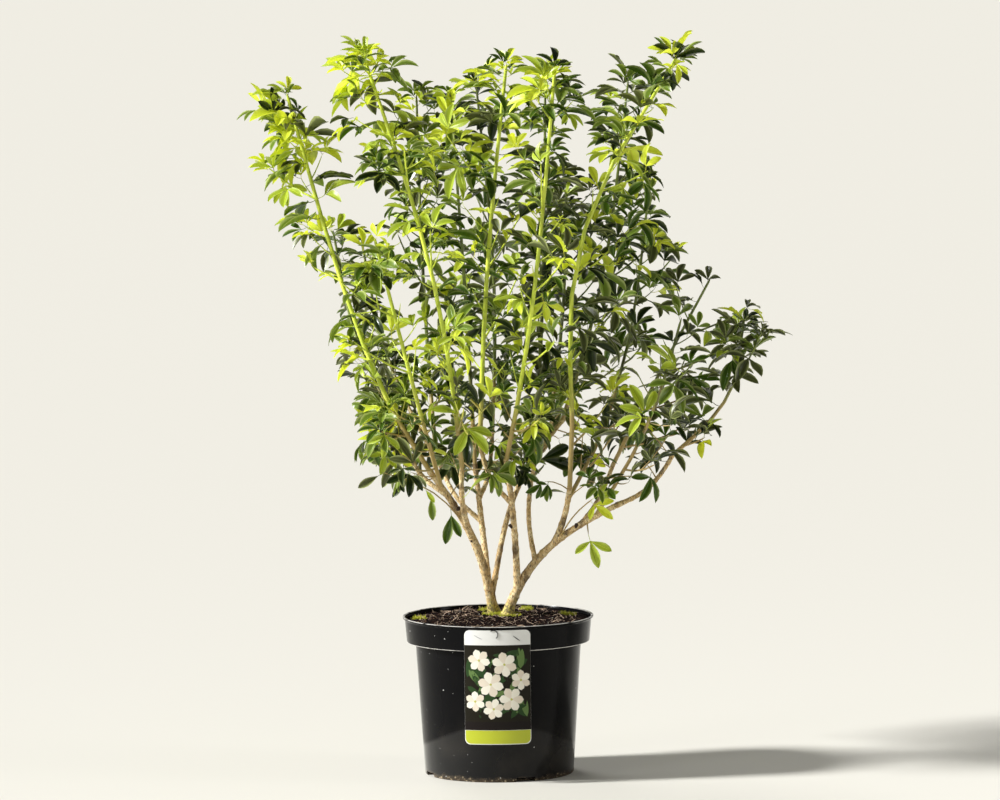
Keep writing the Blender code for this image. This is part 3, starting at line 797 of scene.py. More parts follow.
# Each kind: its model, its colour, how many, from what size to what size, its seed and its lean.
LOOSE = {
    "crumbs_dark": (crumb_mesh, (0.006, 0.003, 0.0025), 1500, (0.002, 0.007), 70, 0.3),
    "crumbs_red": (crumb_mesh, (0.020, 0.007, 0.005), 900, (0.002, 0.006), 71, 0.3),
    "chips": (crumb_mesh, (0.32, 0.17, 0.09), 80, (0.0015, 0.004), 72, 0.3),
    "fibres": (fibre_mesh, (0.78, 0.58, 0.42), 620, (0.006, 0.020), 73, 0.45),
    "grains": (crumb_mesh, (0.72, 0.70, 0.64), 34, (0.0015, 0.003), 74, 0.3),
}
MOSS_GREEN = (0.52, 0.53, 0.07)
MOSS_LEAN = 0.4
OPEN_PLACES = ((-0.114, 0.0), (-0.019, 0.062), (0.041, 0.078), (0.104, 0.03), (0.0, 0.010))
STEM_PLACES = ((-0.007, 0.013), (0.017, -0.007))
# Patches of moss: how many tufts in each, their sizes, the first seed, their reach and their places.
MOSS_PATCHES = (
    (80, (0.002, 0.0065), 80, 0.011, OPEN_PLACES),
    (90, (0.002, 0.0050), 90, 0.0175, STEM_PLACES),
)


def strewn(name, model, colour, copies):
    """A piece of loose bits in one dull colour."""
    models = shelf(name, [model(number) for number in range(MODEL_KINDS)])
    finish = material(name, plain_look(colour, 0.8, 0.1))
    hand_over(copied(name, copies, models, finish), "compost", "soil")


for name, (model, colour, count, sizes, seed, lean) in LOOSE.items():
    strewn(name, model, colour, scattered(count, sizes, seed, lean))
tufts = []
for count, sizes, seed, reach, centres in MOSS_PATCHES:
    for number, centre in enumerate(centres):
        tufts += scattered(count, sizes, seed + number, MOSS_LEAN, centre, reach)
strewn("moss", moss_mesh, MOSS_GREEN, tufts)

# %% [markdown]
# ## Plant label
# A card of white plastic hangs over the front of the skirt and bends with it. Card and print are
# closed thin sheets, laid out flat as places across and down the card, and then wrapped round the
# skirt. A panel is a sheet as wide as the card. A petal, a leaf or a bar is a sheet that swells.

# %% The card, and the thin sheets printed on it
LABEL_WIDTH = 0.098
LABEL_LENGTH = 0.167
LABEL_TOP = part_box("plant_label")[1].z
LABEL_THICKNESS = 0.0008
LABEL_OUTER = SKIRT_TOP_RADIUS + GAP + LABEL_THICKNESS
LABEL_CORNER = 0.008
LABEL_TURN = math.radians(-0.6)
LABEL_COLUMNS = 40
INK = 0.00008
# Each finish: its colour, its roughness and, where it isn't plain, how much it shines.
LABEL_FINISHES = {
    "card": ((0.78, 0.78, 0.75), 0.32),
    "panel": ((0.014, 0.012, 0.007), 0.30, 0.12),
    "strip": ((0.012, 0.009, 0.008), 0.30, 0.12),
    "band": ((0.48, 0.53, 0.020), 0.32),
    "leaf_light": ((0.120, 0.20, 0.060), 0.30, 0.12),
    "leaf_dark": ((0.026, 0.060, 0.018), 0.30, 0.12),
    "petal": ((0.86, 0.82, 0.70), 0.30),
    "petal_shade": ((0.76, 0.68, 0.55), 0.30),
    "heart": ((0.50, 0.50, 0.10), 0.30),
    "steel": ((0.36, 0.36, 0.36), 0.35),
    "black": ((0.02, 0.02, 0.02), 0.35),
}
label_finishes = [material(f"label_{name}", plain_look(*look)) for name, look in LABEL_FINISHES.items()]


def on_label(across, down, lift):
    """A place on the bent card: across from its middle, down from its top and proud of its face."""
    turn = across / LABEL_OUTER + LABEL_TURN
    radius = LABEL_OUTER + lift
    return Vector((radius * math.sin(turn), -radius * math.cos(turn), LABEL_TOP - down))


def add_sheet(work, rows, lift, thickness, finish):
    """A closed thin sheet on the card, from rows of (across, down) places."""
    levels = (lift, lift - thickness)
    layers = [[[work.verts.new(on_label(*spot, level)) for spot in row] for row in rows] for level in levels]
    front, back = layers
    last, wide = len(rows) - 1, len(rows[0]) - 1
    faces = []
    for layer in layers:
        for row, below in zip(layer, layer[1:]):
            faces += [(row[n], row[n + 1], below[n + 1], below[n]) for n in range(wide)]
    rim = [(0, n) for n in range(wide + 1)] + [(m, wide) for m in range(1, last + 1)]
    rim += [(last, n) for n in range(wide - 1, -1, -1)] + [(m, 0) for m in range(last - 1, 0, -1)]
    for (m, n), (p, q) in zip(rim, rim[1:] + rim[:1]):
        faces.append((front[m][n], front[p][q], back[p][q], back[m][n]))
    for corners in faces:
        work.faces.new(corners).material_index = list(LABEL_FINISHES).index(finish)


print(len(label_finishes), "finishes on the label")

# %% [markdown]
# A panel's columns stand closer at its sides, where its corners are round. A motif is a row of
# short cross lines, and how blunt it is and where it is widest are told by two powers of its length.

# %% Panels and motifs
MOTIF_ROWS = 7
MOTIF_BLUNT = 0.6
THINNEST = 0.0002


def add_panel(work, top, bottom, inset, lift, thickness, finish, corners=(0.0, 0.0)):
    """A panel across the card between two heights, with round corners at its top or bottom."""
    half = LABEL_WIDTH / 2 - inset
    across = [half * math.sin(math.pi * (n / LABEL_COLUMNS - 0.5)) for n in range(LABEL_COLUMNS + 1)]

    def cut(place, corner):
        inward = max(0.0, abs(place) - (half - corner))
        return corner - math.sqrt(max(0.0, corner**2 - inward**2))

    first = [(place, top + cut(place, corners[0])) for place in across]
    second = [(place, bottom - cut(place, corners[1])) for place in across]
    add_sheet(work, [first, second], lift, thickness, finish)


def add_motif(work, centre, turn, length, width, lift, finish, belly=1.0, thickness=INK):
    """A petal, leaf or bar: a sheet that swells from its foot and narrows to its tip."""
    rows = []
    for number in range(MOTIF_ROWS):
        share = number / (MOTIF_ROWS - 1)
        swell = math.sin(math.pi * share**belly) ** MOTIF_BLUNT if 0 < share < 1 else 0
        half = max(THINNEST, width / 2 * swell)
        run = length * share
        row = []
        for out in (-half, 0.0, half):
            across = centre[0] + run * math.cos(turn) - out * math.sin(turn)
            row.append((across, centre[1] + run * math.sin(turn) + out * math.cos(turn)))
        rows.append(row)
    add_sheet(work, rows, lift, thickness, finish)


# %% [markdown]
# The print shows a dark panel of leaves and pale flowers, a dark strip and a lime band. The flowers
# and their layout are made up here: leaves are strewn first, each a little prouder than the last,
# and the flowers lie on them, with every second petal in a shade.

# %% The card's print, in a layout of its own
HEADER = 0.0218
PANEL_END = 0.1336
STRIP_END = 0.1460
EDGE_INSET = 0.0001
BAND_INSET = 0.0009
BAND_GAPS = (0.0004, 0.001)
LEAF_MARGIN = 0.004
LEAF_WIDTH_SHARE = 0.34
LEAF_BELLY = 0.8
PETAL_BELLY = 1.6
HEART_SIZE = 0.0036
HEART_LIFT = 6.5 * INK
# Each flower: how far across and down its middle is, and how long its petals are.
FLOWERS = (
    (-0.027, 0.044, 0.0165),
    (0.010, 0.050, 0.0185),
    (0.034, 0.073, 0.0150),
    (-0.010, 0.079, 0.0190),
    (-0.033, 0.104, 0.0150),
    (0.020, 0.101, 0.0180),
    (-0.006, 0.115, 0.0155),
)
PETALS = 6
PETAL_SHARE = 0.66
SPRAY_COUNT = 150
SPRAY_LENGTHS = (0.018, 0.034)
SPRAY_SEED = 21

chance = random.Random(SPRAY_SEED)
work = bmesh.new()
add_panel(work, HEADER, PANEL_END, EDGE_INSET, INK, INK, "panel")
add_panel(work, PANEL_END, STRIP_END, EDGE_INSET, INK, INK, "strip")
band = (STRIP_END + BAND_GAPS[0], LABEL_LENGTH - BAND_GAPS[1])
add_panel(work, *band, BAND_INSET, INK, INK, "band", (0, LABEL_CORNER))
top, bottom, side = HEADER + LEAF_MARGIN, PANEL_END - LEAF_MARGIN, LABEL_WIDTH / 2 - LEAF_MARGIN
for number in range(SPRAY_COUNT):
    length = chance.uniform(*SPRAY_LENGTHS)
    spot = (chance.uniform(-side, side), chance.uniform(top, bottom))
    turn = chance.uniform(0, math.tau)
    tone = chance.choice(("leaf_light", "leaf_dark", "leaf_dark", "panel"))
    across, down, _ = on_circle(length, turn, 0)
    if abs(spot[0] + across) < side and top < spot[1] + down < bottom:
        lift = (2 + number / SPRAY_COUNT) * INK
        add_motif(work, spot, turn, length, length * LEAF_WIDTH_SHARE, lift, tone, LEAF_BELLY)
for number, (across, down, radius) in enumerate(FLOWERS):
    first = chance.uniform(0, math.tau)
    for petal in range(PETALS):
        turn = first + petal * math.tau / PETALS
        lift = (4 + number % 2 + petal / PETALS) * INK
        tone = "petal" if petal % 2 else "petal_shade"
        add_motif(work, (across, down), turn, radius, radius * PETAL_SHARE, lift, tone, PETAL_BELLY)
    add_motif(work, (across - HEART_SIZE / 2, down), 0, HEART_SIZE, HEART_SIZE, HEART_LIFT, "heart")
label_print = new_object("label_print", mesh_from(work, "label_print"), *label_finishes)
hand_over(label_print, "label_plastic", "plant_label")

# %% [markdown]
# The card itself has four round corners. A wire staple, a dark one and a hook bent from short bars
# hold it at its top.

# %% The card, its staples and its hook
# Each staple: where it starts, its turn, its length, its width, how proud it is and its finish.
STAPLES = (
    ((-0.034, 0.0075), 0.45, 0.0125, 0.0009, 0.0006, "steel"),
    ((0.023, 0.0085), 0.62, 0.0125, 0.0012, 0.0006, "black"),
)
HOOK_MIDDLE = (-0.0055, 0.0062)
HOOK_RADIUS = 0.0062
HOOK_TURNS = (-0.7, 2.2)
HOOK_BARS = 12
HOOK_BAR = (0.0022, 0.0012, 0.0011)

work = bmesh.new()
add_panel(work, 0, LABEL_LENGTH, 0, 0, LABEL_THICKNESS, "card", (LABEL_CORNER, LABEL_CORNER))
for staple in STAPLES:
    add_motif(work, *staple, thickness=staple[4])
for number in range(HOOK_BARS):
    turn = HOOK_TURNS[0] + (HOOK_TURNS[1] - HOOK_TURNS[0]) * number / (HOOK_BARS - 1)
    spot = (HOOK_MIDDLE[0] + HOOK_RADIUS * math.sin(turn), HOOK_MIDDLE[1] - HOOK_RADIUS * math.cos(turn))
    add_motif(work, spot, turn, *HOOK_BAR, "black", thickness=HOOK_BAR[2])
label_card = new_object("label_card", mesh_from(work, "label_card"), *label_finishes)
hand_over(label_card, "label_plastic", "plant_label")

# %% [markdown]
# ## The growth rule, written again
# The solids came from a rule: bowed limbs, then shoots, then side twigs that look for room. Here
# the same limbs and the same seeds give the same skeleton, so that the finer twigs and the real
# leaves grow within the same reach. A limb names its parent, the share of the parent's length
# where it leaves, its tip, how it bows, its radii at both ends, and where the bow is greatest.

# %% The sizes of the limbs
LIMB_RINGS = 8
TRUNK_CROWD = 1.35
ROOT_FLARE = 0.0026
FLARE_HEIGHT = 0.010
SHOOT_RINGS = 7
SHOOT_RADII = (0.0030, 0.0016)
BOUGH_END = 0.985


@dataclass
class Limb:
    """One tapering limb: where it leaves, where it ends, how it bends and how thick it is."""

    name: str
    parent: str
    share: float
    tip: tuple
    bow: tuple
    radii: tuple = SHOOT_RADII
    peak: float = 0.5


def limbs(rows, kind=""):
    """Limbs from rows of a Limb's values in order, under names that start with their kind."""
    return [Limb(kind + name, *values) for name, values in rows.items()]


FEET = {"trunk_left": (-0.006, 0.018), "trunk_right": (0.014, -0.004)}
TRUNKS = limbs({
    "trunk_left": ("soil", 0, (-0.1, -0.04, 0.453), (0.018, 0.002, 0.002), (0.0082, 0.0047)),
    "trunk_right": ("soil", 0, (0.174, -0.06, 0.399), (-0.018, 0.022, 0.017), (0.008, 0.0042), 0.45),
})
STEMS = limbs({
    "stem_back": ("trunk_left", 0.15, (-0.032, 0.074, 0.448), (0, 0.014, 0), (0.0054, 0.004), 0.4),
    "stem_middle": ("trunk_left", 0.1, (0.1, 0.086, 0.512), (-0.022, -0.012, 0.012), (0.0048, 0.0036), 0.55),
    "stem_centre": ("trunk_right", 0.16, (0.014, -0.074, 0.47), (0.003, 0.012, 0), (0.006, 0.0042)),
})
BOUGHS = limbs({
    "left_front": ("trunk_left", 0.5, (-0.05, -0.082, 0.462), (-0.006, -0.012, -0.004), (0.005, 0.0038)),
    "left_back": ("trunk_left", 0.8, (-0.135, 0.034, 0.5), (-0.012, 0.006, -0.01), (0.004, 0.0034)),
    "back_left": ("stem_back", 0.56, (-0.092, 0.146, 0.478), (-0.01, 0.006, -0.014), (0.004, 0.0033)),
    "back": ("stem_back", 0.74, (-0.006, 0.156, 0.484), (0.004, 0.01, -0.014), (0.004, 0.0033)),
    "centre_left": ("stem_centre", 0.64, (-0.024, -0.05, 0.492), (-0.008, 0, -0.006), (0.004, 0.0034)),
    "right_inner": ("trunk_right", 0.36, (0.057, 0.044, 0.456), (-0.01, 0.004, -0.004), (0.0042, 0.0034)),
    "right_middle": ("trunk_right", 0.52, (0.107, -0.022, 0.424), (0.004, -0.004, 0), (0.0054, 0.0042)),
    "right_back": ("trunk_right", 0.72, (0.172, 0.052, 0.448), (0.002, -0.006, -0.008), (0.0044, 0.0034)),
    "far_right": ("trunk_right", 1, (0.258, -0.064, 0.474), (0.006, -0.006, -0.01), (0.004, 0.0034)),
    "rear": ("stem_middle", 0.76, (0.084, 0.196, 0.52), (0.006, 0.01, -0.016), (0.0036, 0.0031)),
}, "bough_")
WOODY = TRUNKS + STEMS + BOUGHS
SHOOTS = limbs({
    "far_left": ("trunk_left", 1, (-0.3, 0.004, 1.0), (-0.026, -0.01, 0), SHOOT_RADII, 0.35),
    "left_back": ("bough_left_back", 1, (-0.23, 0.164, 0.735), (-0.018, 0.03, 0)),
    "left_front": ("trunk_left", 0.86, (-0.17, -0.146, 0.79), (0, -0.046, 0), SHOOT_RADII, 0.4),
    "front_left": ("bough_left_front", 1, (-0.17, -0.19, 1.02), (0.022, -0.046, 0)),
    "middle": ("stem_back", 1, (-0.058, 0.03, 0.93), (0.002, 0.02, 0)),
    "rear_left": ("bough_back_left", 1, (-0.112, 0.19, 0.915), (-0.004, 0.036, 0)),
    "rear": ("bough_back", 1, (-0.016, 0.256, 0.905), (0.01, 0.044, 0)),
    "centre_left": ("bough_centre_left", 1, (0.014, -0.082, 0.99), (-0.006, -0.02, 0)),
    "front": ("stem_centre", 1, (0.084, -0.2, 0.985), (0.008, -0.056, 0), SHOOT_RADII, 0.45),
    "front_right": ("bough_right_middle", 1, (0.236, -0.056, 1.0), (-0.064, -0.09, 0), SHOOT_RADII, 0.6),
    "inner_right": ("bough_right_inner", 1, (0.076, 0.142, 0.905), (0.004, 0.03, 0)),
    "middle_right": ("stem_middle", 1, (0.186, 0.066, 0.905), (0.014, 0.012, 0)),
    "rear_right": ("bough_right_middle", 0.76, (0.23, 0.2, 0.835), (0.03, 0.092, -0.01), SHOOT_RADII, 0.42),
    "right_back": ("bough_right_back", 1, (0.312, 0.102, 0.705), (0, 0.024, 0)),
    "right_front": ("trunk_right", 0.84, (0.262, -0.146, 0.655), (0.014, -0.034, 0)),
    "far_right": ("bough_far_right", 1, (0.356, -0.034, 0.622), (0.026, 0, 0)),
    "back": ("bough_rear", 1, (0.108, 0.272, 0.8), (0.006, 0.03, 0)),
    "back_left": ("bough_back_left", 0.66, (-0.19, 0.262, 0.715), (-0.02, 0.036, 0)),
}, "foliage_")
MASSES = [limb.name for limb in SHOOTS]
print(len(WOODY), "woody limbs and", len(SHOOTS), "shoots")

# %% [markdown]
# A limb runs straight from its start to its tip and is then pushed aside by its bow, most at the
# bow's peak. The trunks and boughs are found with few points first, as in the solids. The bark
# asks for the same routes again with many.


# %% The routes of the limbs
def bow_share(share, peak):
    """0 at both ends of a limb and 1 at its peak, smooth between."""
    return math.sin(math.pi * share ** (math.log(0.5) / math.log(peak)))


def even_shares(count, crowd=1.0):
    """Shares from 0 to 1. A crowd over 1 puts more of them near 0."""
    return [(number / (count - 1)) ** crowd for number in range(count)]


def route(start, tip, bow, peak, count, crowd=1.0):
    """Points along a bowed limb."""
    start, tip, bow = Vector(start), Vector(tip), Vector(bow)
    return [start.lerp(tip, share) + bow * bow_share(share, peak) for share in even_shares(count, crowd)]


def along(points, share):
    """The point at a share of a route's length, and the route's direction there."""
    lengths = [(b - a).length for a, b in zip(points, points[1:])]
    left = share * sum(lengths)
    for (a, b), length in zip(zip(points, points[1:]), lengths):
        if left <= length:
            return a.lerp(b, left / length), (b - a).normalized()
        left -= length
    return points[-1].copy(), (points[-1] - points[-2]).normalized()


def length_of(points):
    return sum((b - a).length for a, b in zip(points, points[1:]))


def taper(radii, count, crowd=1.0):
    return [radii[0] + (radii[1] - radii[0]) * share for share in even_shares(count, crowd)]


def limb_line(limb, count):
    """Points and radii along a woody limb. A trunk flares at its foot, where its points are closer."""
    rooted = limb in TRUNKS
    crowd = TRUNK_CROWD if rooted else 1.0
    points = route(starts[limb.name], limb.tip, limb.bow, limb.peak, count, crowd)
    radii = taper(limb.radii, count, crowd)
    if rooted:
        flares = [ROOT_FLARE * math.exp((points[0].z - point.z) / FLARE_HEIGHT) for point in points]
        radii = [radius + flare for radius, flare in zip(radii, flares)]
    return points, radii


starts, routes, lines = {}, {}, {}
for limb in WOODY:
    if limb in TRUNKS:
        starts[limb.name] = Vector((*FEET[limb.name], SOIL_LEVEL + GAP))
    else:
        starts[limb.name] = along(routes[limb.parent][0], limb.share)[0]
    routes[limb.name] = limb_line(limb, LIMB_RINGS)
for limb in SHOOTS:
    starts[limb.name] = along(routes[limb.parent][0], min(limb.share, BOUGH_END))[0]
    lines[limb.name] = route(starts[limb.name], limb.tip, limb.bow, limb.peak, SHOOT_RINGS)
print("longest shoot", round(max(map(length_of, lines.values())), 3), "m")

# %% [markdown]
# Each mass of foliage keeps to its own space: a twig or leaf belongs where its own skeleton is
# nearer than any other. The skeletons are sampled every few millimetres to measure that.

# %% The spaces of the masses
SAMPLE_STEP = 0.004
CROWN_LOW = (-0.381, -0.320, 0.400)
CROWN_HIGH = (0.446, 0.360, 1.098)


class Spaces:
    """The skeletons of all limbs and shoots, sampled, so that each mass can keep to its own space."""

    def __init__(self):
        self.places, self.owners, self.radii = [], [], []
        self.array = None

    def add(self, owner, points, radius):
        for a, b in zip(points, points[1:]):
            count = max(1, math.ceil((b - a).length / SAMPLE_STEP))
            for number in range(count + 1):
                self.places.append(tuple(a.lerp(b, number / count)))
                self.owners.append(owner)
                self.radii.append(radius)
        self.array = None

    def distances(self, owner, points):
        """For each point, how far its own skeleton is, and how far any other's surface is."""
        if self.array is None:
            self.array = np.array(self.places)
            self.names = np.array(self.owners)
            self.thick = np.array(self.radii)
        points = np.array([tuple(point) for point in points])
        away = np.linalg.norm(points[:, None, :] - self.array[None, :, :], axis=2)
        own = self.names == owner
        return away[:, own].min(axis=1), (away[:, ~own] - self.thick[~own]).min(axis=1)


def within_crown(points, margin=0.0):
    lows = [value - low for point in points for value, low in zip(point, CROWN_LOW)]
    highs = [high - value for point in points for value, high in zip(point, CROWN_HIGH)]
    return min(lows + highs) > margin


spaces = Spaces()
for name, (points, radii) in routes.items():
    spaces.add(name, points, max(radii[1:]))
for name, points in lines.items():
    spaces.add(name, points, SHOOT_RADII[0])
print(len(spaces.places), "samples of the skeletons")

# %% [markdown]
# A side twig opens away from its shoot at a fixed angle, but its turn round the shoot is free. It is
# tried at several turns and takes the one with the most room. A little chance in the comparison
# keeps the twigs from all choosing alike.

# %% Side twigs, as in the solids
TWIG_RADII = (0.0017, 0.0011)
TWIG_RINGS = 4
TWIG_LENGTH = 0.105
TWIG_LENGTH_RANGE = (0.75, 1.05)
TWIG_OPENING = math.radians(48)
TWIG_SAG = 0.06
TWIG_SHARES = (0.10, 0.31, 0.52, 0.73)
TWIG_TRIES = 10
TWIG_CHANCE = (0.75, 1.0)
TWIG_ROOM = 0.030
TWIG_CLEARANCE = 0.012
TWIG_SEED = 100
UPRIGHT = 0.5


def spread(direction, azimuth, opening):
    """A direction that opens away from another by an angle, at an azimuth round it."""
    aside = Vector((0, 1, 0)) if abs(direction.z) > UPRIGHT else Vector((0, 0, 1))
    across = direction.cross(aside).normalized()
    across = Matrix.Rotation(azimuth, 3, direction) @ across
    return (direction * math.cos(opening) + across * math.sin(opening)).normalized()


def twig_line(base, out, length, lift=2, sag=-1):
    """A twig's route. It ends a little above its straight line and sags, or bows up with sag over 0."""
    tip = base + out * length + Vector((0, 0, lift * TWIG_SAG * length))
    return route(base, tip, (0, 0, sag * TWIG_SAG * length), 0.5, TWIG_RINGS)


def grow_twigs(name, points, spaces, chance):
    """Side twigs up a shoot, each turned towards the most room. One that finds none is skipped."""
    twigs = []
    azimuth = chance.uniform(0, math.tau)
    for share in TWIG_SHARES:
        base, direction = along(points, share)
        length = TWIG_LENGTH * chance.uniform(*TWIG_LENGTH_RANGE)
        best, most_room = None, TWIG_ROOM
        for attempt in range(TWIG_TRIES):
            out = spread(direction, azimuth + attempt * math.tau / TWIG_TRIES, TWIG_OPENING)
            twig = twig_line(base, out, length)
            room = spaces.distances(name, twig[-1:])[1].min() * chance.uniform(*TWIG_CHANCE)
            clear = spaces.distances(name, twig[1:])[1].min() > TWIG_CLEARANCE
            if room > most_room and clear and within_crown(twig, TWIG_ROOM):
                best, most_room = twig, room
        if best:
            twigs.append(best)
            spaces.add(name, best, TWIG_RADII[0])
    return twigs


twigs = {}
for number, name in enumerate(MASSES):
    twigs[name] = grow_twigs(name, lines[name], spaces, random.Random(TWIG_SEED + number))
print(sum(map(len, twigs.values())), "side twigs, as in the solids")

# %% [markdown]
# ## Finer twigs
# The solids reach a little past the real crown in places, and the real one has a notch between its
# two left tips. So the leafy parts also keep within an outline as the camera sees it. It is drawn
# as three lines: both sides by height, the top and the underside.

# %% The crown's outline from the camera's side
# Its sides: height, how far left and how far right.
EDGES = (
    (0.34, -0.24, 0.24), (0.42, -0.24, 0.25), (0.49, -0.20, 0.32), (0.55, -0.215, 0.35),
    (0.62, -0.240, 0.420), (0.645, -0.270, 0.446), (0.67, -0.225, 0.400), (0.70, -0.225, 0.350),
    (0.74, -0.285, 0.340), (0.78, -0.310, 0.290), (0.81, -0.320, 0.255), (0.86, -0.340, 0.250),
    (0.92, -0.385, 0.250), (0.99, -0.380, 0.270), (1.05, -0.345, 0.310), (1.10, -0.300, 0.310),
)
# Its top: how far right, and how high.
TOPS = (
    (-0.385, 1.030), (-0.290, 1.040), (-0.275, 1.000), (-0.270, 0.940), (-0.248, 0.940),
    (-0.242, 1.096), (-0.115, 1.096), (-0.095, 1.012), (-0.050, 1.012), (-0.030, 1.070),
    (0.090, 1.075), (0.110, 1.052), (0.195, 1.052), (0.215, 1.096), (0.310, 1.096),
)
# Its underside: how far right, and how low.
UNDERSIDES = (
    (-0.250, 0.435), (-0.160, 0.415), (-0.060, 0.405), (0.010, 0.415), (0.040, 0.410),
    (0.110, 0.395), (0.170, 0.415), (0.240, 0.400), (0.300, 0.455), (0.340, 0.520),
)
TRIM_STEPS = 12
TRIM_PARTS = 3
SHORTEST_TWIG = 0.035
LEAF_ROOM = 0.022


def within_edges(points, room=0.0):
    """Whether points are inside the outline, with some room at its sides and its top."""
    heights, lefts, rights = zip(*EDGES)
    for x, _, z in points:
        if not np.interp(z, heights, lefts) + room < x < np.interp(z, heights, rights) - room:
            return False
        if not np.interp(x, *zip(*UNDERSIDES)) < z < np.interp(x, *zip(*TOPS)) - room:
            return False
    return True


def trimmed(points):
    """A twig cut off where it leaves no room for leaves, or None where too little is left."""
    shares = [number / TRIM_STEPS for number in range(TRIM_STEPS + 1)]
    inside = [share for share in shares if within_edges([along(points, share)[0]], LEAF_ROOM)]
    if not inside or length_of(points) * inside[-1] < SHORTEST_TWIG:
        return None
    return [along(points, inside[-1] * part / TRIM_PARTS)[0] for part in range(TRIM_PARTS + 1)]


kept_twigs = {name: list(filter(None, map(trimmed, found))) for name, found in twigs.items()}
print(sum(map(len, kept_twigs.values())), "side twigs kept within the outline")

# %% [markdown]
# On the real shrub leaves stand in opposite pairs, each pair turned a quarter round from the last.
# So every shoot and side twig gets nodes along it, close together near its tip and a few centimetres
# apart below. A shoot also grows on past the end of its solid's axis, into the room that the solid's
# top leaves fill. Sunny shoots are a little thicker than shaded ones.

# %% Nodes along a leafy axis
TIP_NODES = {
    "shoot": (0.0, 0.005, 0.011, 0.019, 0.029, 0.041, 0.055, 0.071, 0.089, 0.109, 0.131),
    "twig": (0.0, 0.006, 0.014, 0.026, 0.042),
    "fine": (0.0, 0.007, 0.019),
}
INTERNODE = 0.029
BARE_FOOT = {"shoot": 0.020, "twig": 0.020, "fine": 0.012}
TIP_GROWTH = 0.055
TIP_GROWTHS = {
    "foliage_far_left": 0.001,
    "foliage_left_front": 0.010,
    "foliage_front_right": 0.070,
    "foliage_middle": 0.070,
    "foliage_rear_left": 0.075,
    "foliage_rear": 0.095,
    "foliage_inner_right": 0.110,
    "foliage_middle_right": 0.110,
    "foliage_far_right": 0.042,
    "foliage_right_back": 0.015,
    "foliage_right_front": 0.025,
}
PAIR_TURN = math.pi / 2
PAIR_CHANCE = 0.15
SUNNY_SHOOTS = {
    "foliage_far_left",
    "foliage_left_front",
    "foliage_front_left",
    "foliage_centre_left",
    "foliage_front",
    "foliage_front_right",
}
SUNNY_RADII = (0.0037, 0.0025)
SHADED_RADII = (0.0032, 0.0017)


@dataclass
class Axis:
    """A leafy axis: its mass, which kind it is, its route, its radii, and its nodes."""

    mass: str
    kind: str
    points: list
    radii: tuple
    nodes: list


def node_distances(length, kind):
    """How far from the tip each pair of leaves stands."""
    found = [distance for distance in TIP_NODES[kind] if distance < length]
    distance = TIP_NODES[kind][-1] + INTERNODE
    while distance < length - BARE_FOOT[kind]:
        found.append(distance)
        distance += INTERNODE
    return found


def new_axis(mass, kind, points, radii, chance):
    """An axis with (point, direction, azimuth, distance from the tip) for each of its nodes."""
    length = length_of(points)
    azimuth = chance.uniform(0, math.tau)
    nodes = []
    for distance in node_distances(length, kind):
        azimuth += PAIR_TURN + chance.gauss(0, PAIR_CHANCE)
        nodes.append((*along(points, 1 - distance / length), azimuth, distance))
    return Axis(mass, kind, points, radii, nodes)


print(len(node_distances(TWIG_LENGTH, "twig")), "pairs of leaves on a whole side twig")

# %% [markdown]
# A short twig may grow from the foot of any leaf. It looks for room as the side twigs did, and gets
# shorter with each try. Three masses at the left are bushier than the rest.

# %% Fine twigs
FINE_LENGTHS = (0.025, 0.060)
FINE_OPENING = math.radians(52)
FINE_RADII = (0.0011, 0.0007)
FINE_ROOM = 0.012
FINE_TRIES = 4
FINE_ASIDE = 0.35
FINE_SHORTER = 0.85
FINE_CHANCES = {"shoot": 0.30, "twig": 0.20}
FINE_FROM_TIP = 0.040
FINE_SEED = 500
MASS_CLEARANCE = 0.0016
BUSHY = {"foliage_far_left": 1.7, "foliage_front_left": 2.0, "foliage_left_front": 2.4}


def fine_twigs(axis, spaces, chance):
    """Fine twigs from the feet of an axis's leaves, each kept where there is room for it."""
    grown = []
    often = FINE_CHANCES[axis.kind] * BUSHY.get(axis.mass, 1.0)
    for base, direction, azimuth, distance in axis.nodes:
        for half in (0, math.pi):
            if distance < FINE_FROM_TIP or chance.random() > often:
                continue
            length = chance.uniform(*FINE_LENGTHS)
            for attempt in range(FINE_TRIES):
                aside = chance.gauss(0, FINE_ASIDE)
                out = spread(direction, azimuth + half + aside, FINE_OPENING)
                line = twig_line(base, out, length)
                own, other = spaces.distances(axis.mass, line[-1:])
                fits = own[0] + MASS_CLEARANCE < other[0] and own[0] > FINE_ROOM
                if fits and within_crown(line, FINE_ROOM) and within_edges(line, LEAF_ROOM):
                    grown.append(line)
                    spaces.add(axis.mass, line, FINE_RADII[0])
                    break
                length *= FINE_SHORTER
    return grown


axes = []
for number, name in enumerate(MASSES):
    chance = random.Random(FINE_SEED + number)
    end, direction = along(lines[name], 1)
    shoot = [*lines[name], end + direction * TIP_GROWTHS.get(name, TIP_GROWTH)]
    radii = SUNNY_RADII if name in SUNNY_SHOOTS else SHADED_RADII
    first = [new_axis(name, "shoot", shoot, radii, chance)]
    first += [new_axis(name, "twig", twig, TWIG_RADII, chance) for twig in kept_twigs[name]]
    axes += first
    for axis in first:
        fine = fine_twigs(axis, spaces, chance)
        axes += [new_axis(name, "fine", line, FINE_RADII, chance) for line in fine]
print(len(axes), "leafy axes with", sum(len(axis.nodes) for axis in axes), "pairs of leaves")

# %% [markdown]
# Where the boughs end, the crown doesn't stop at once: thin twigs with a few hanging leaves fill the
# space among the upper boughs. They come from the boughs by the same search for room, but stand out
# more widely and bow up a little.

# %% Low twigs from the upper boughs
LOW_SHARES = (0.62, 0.78, 0.93)
LOW_FROM = 0.395
LOW_LENGTHS = (0.030, 0.070)
LOW_OPENINGS = (0.9, 1.4)
LOW_ROOM = 0.010
LOW_TRIES = 8
LOW_SEED = 620

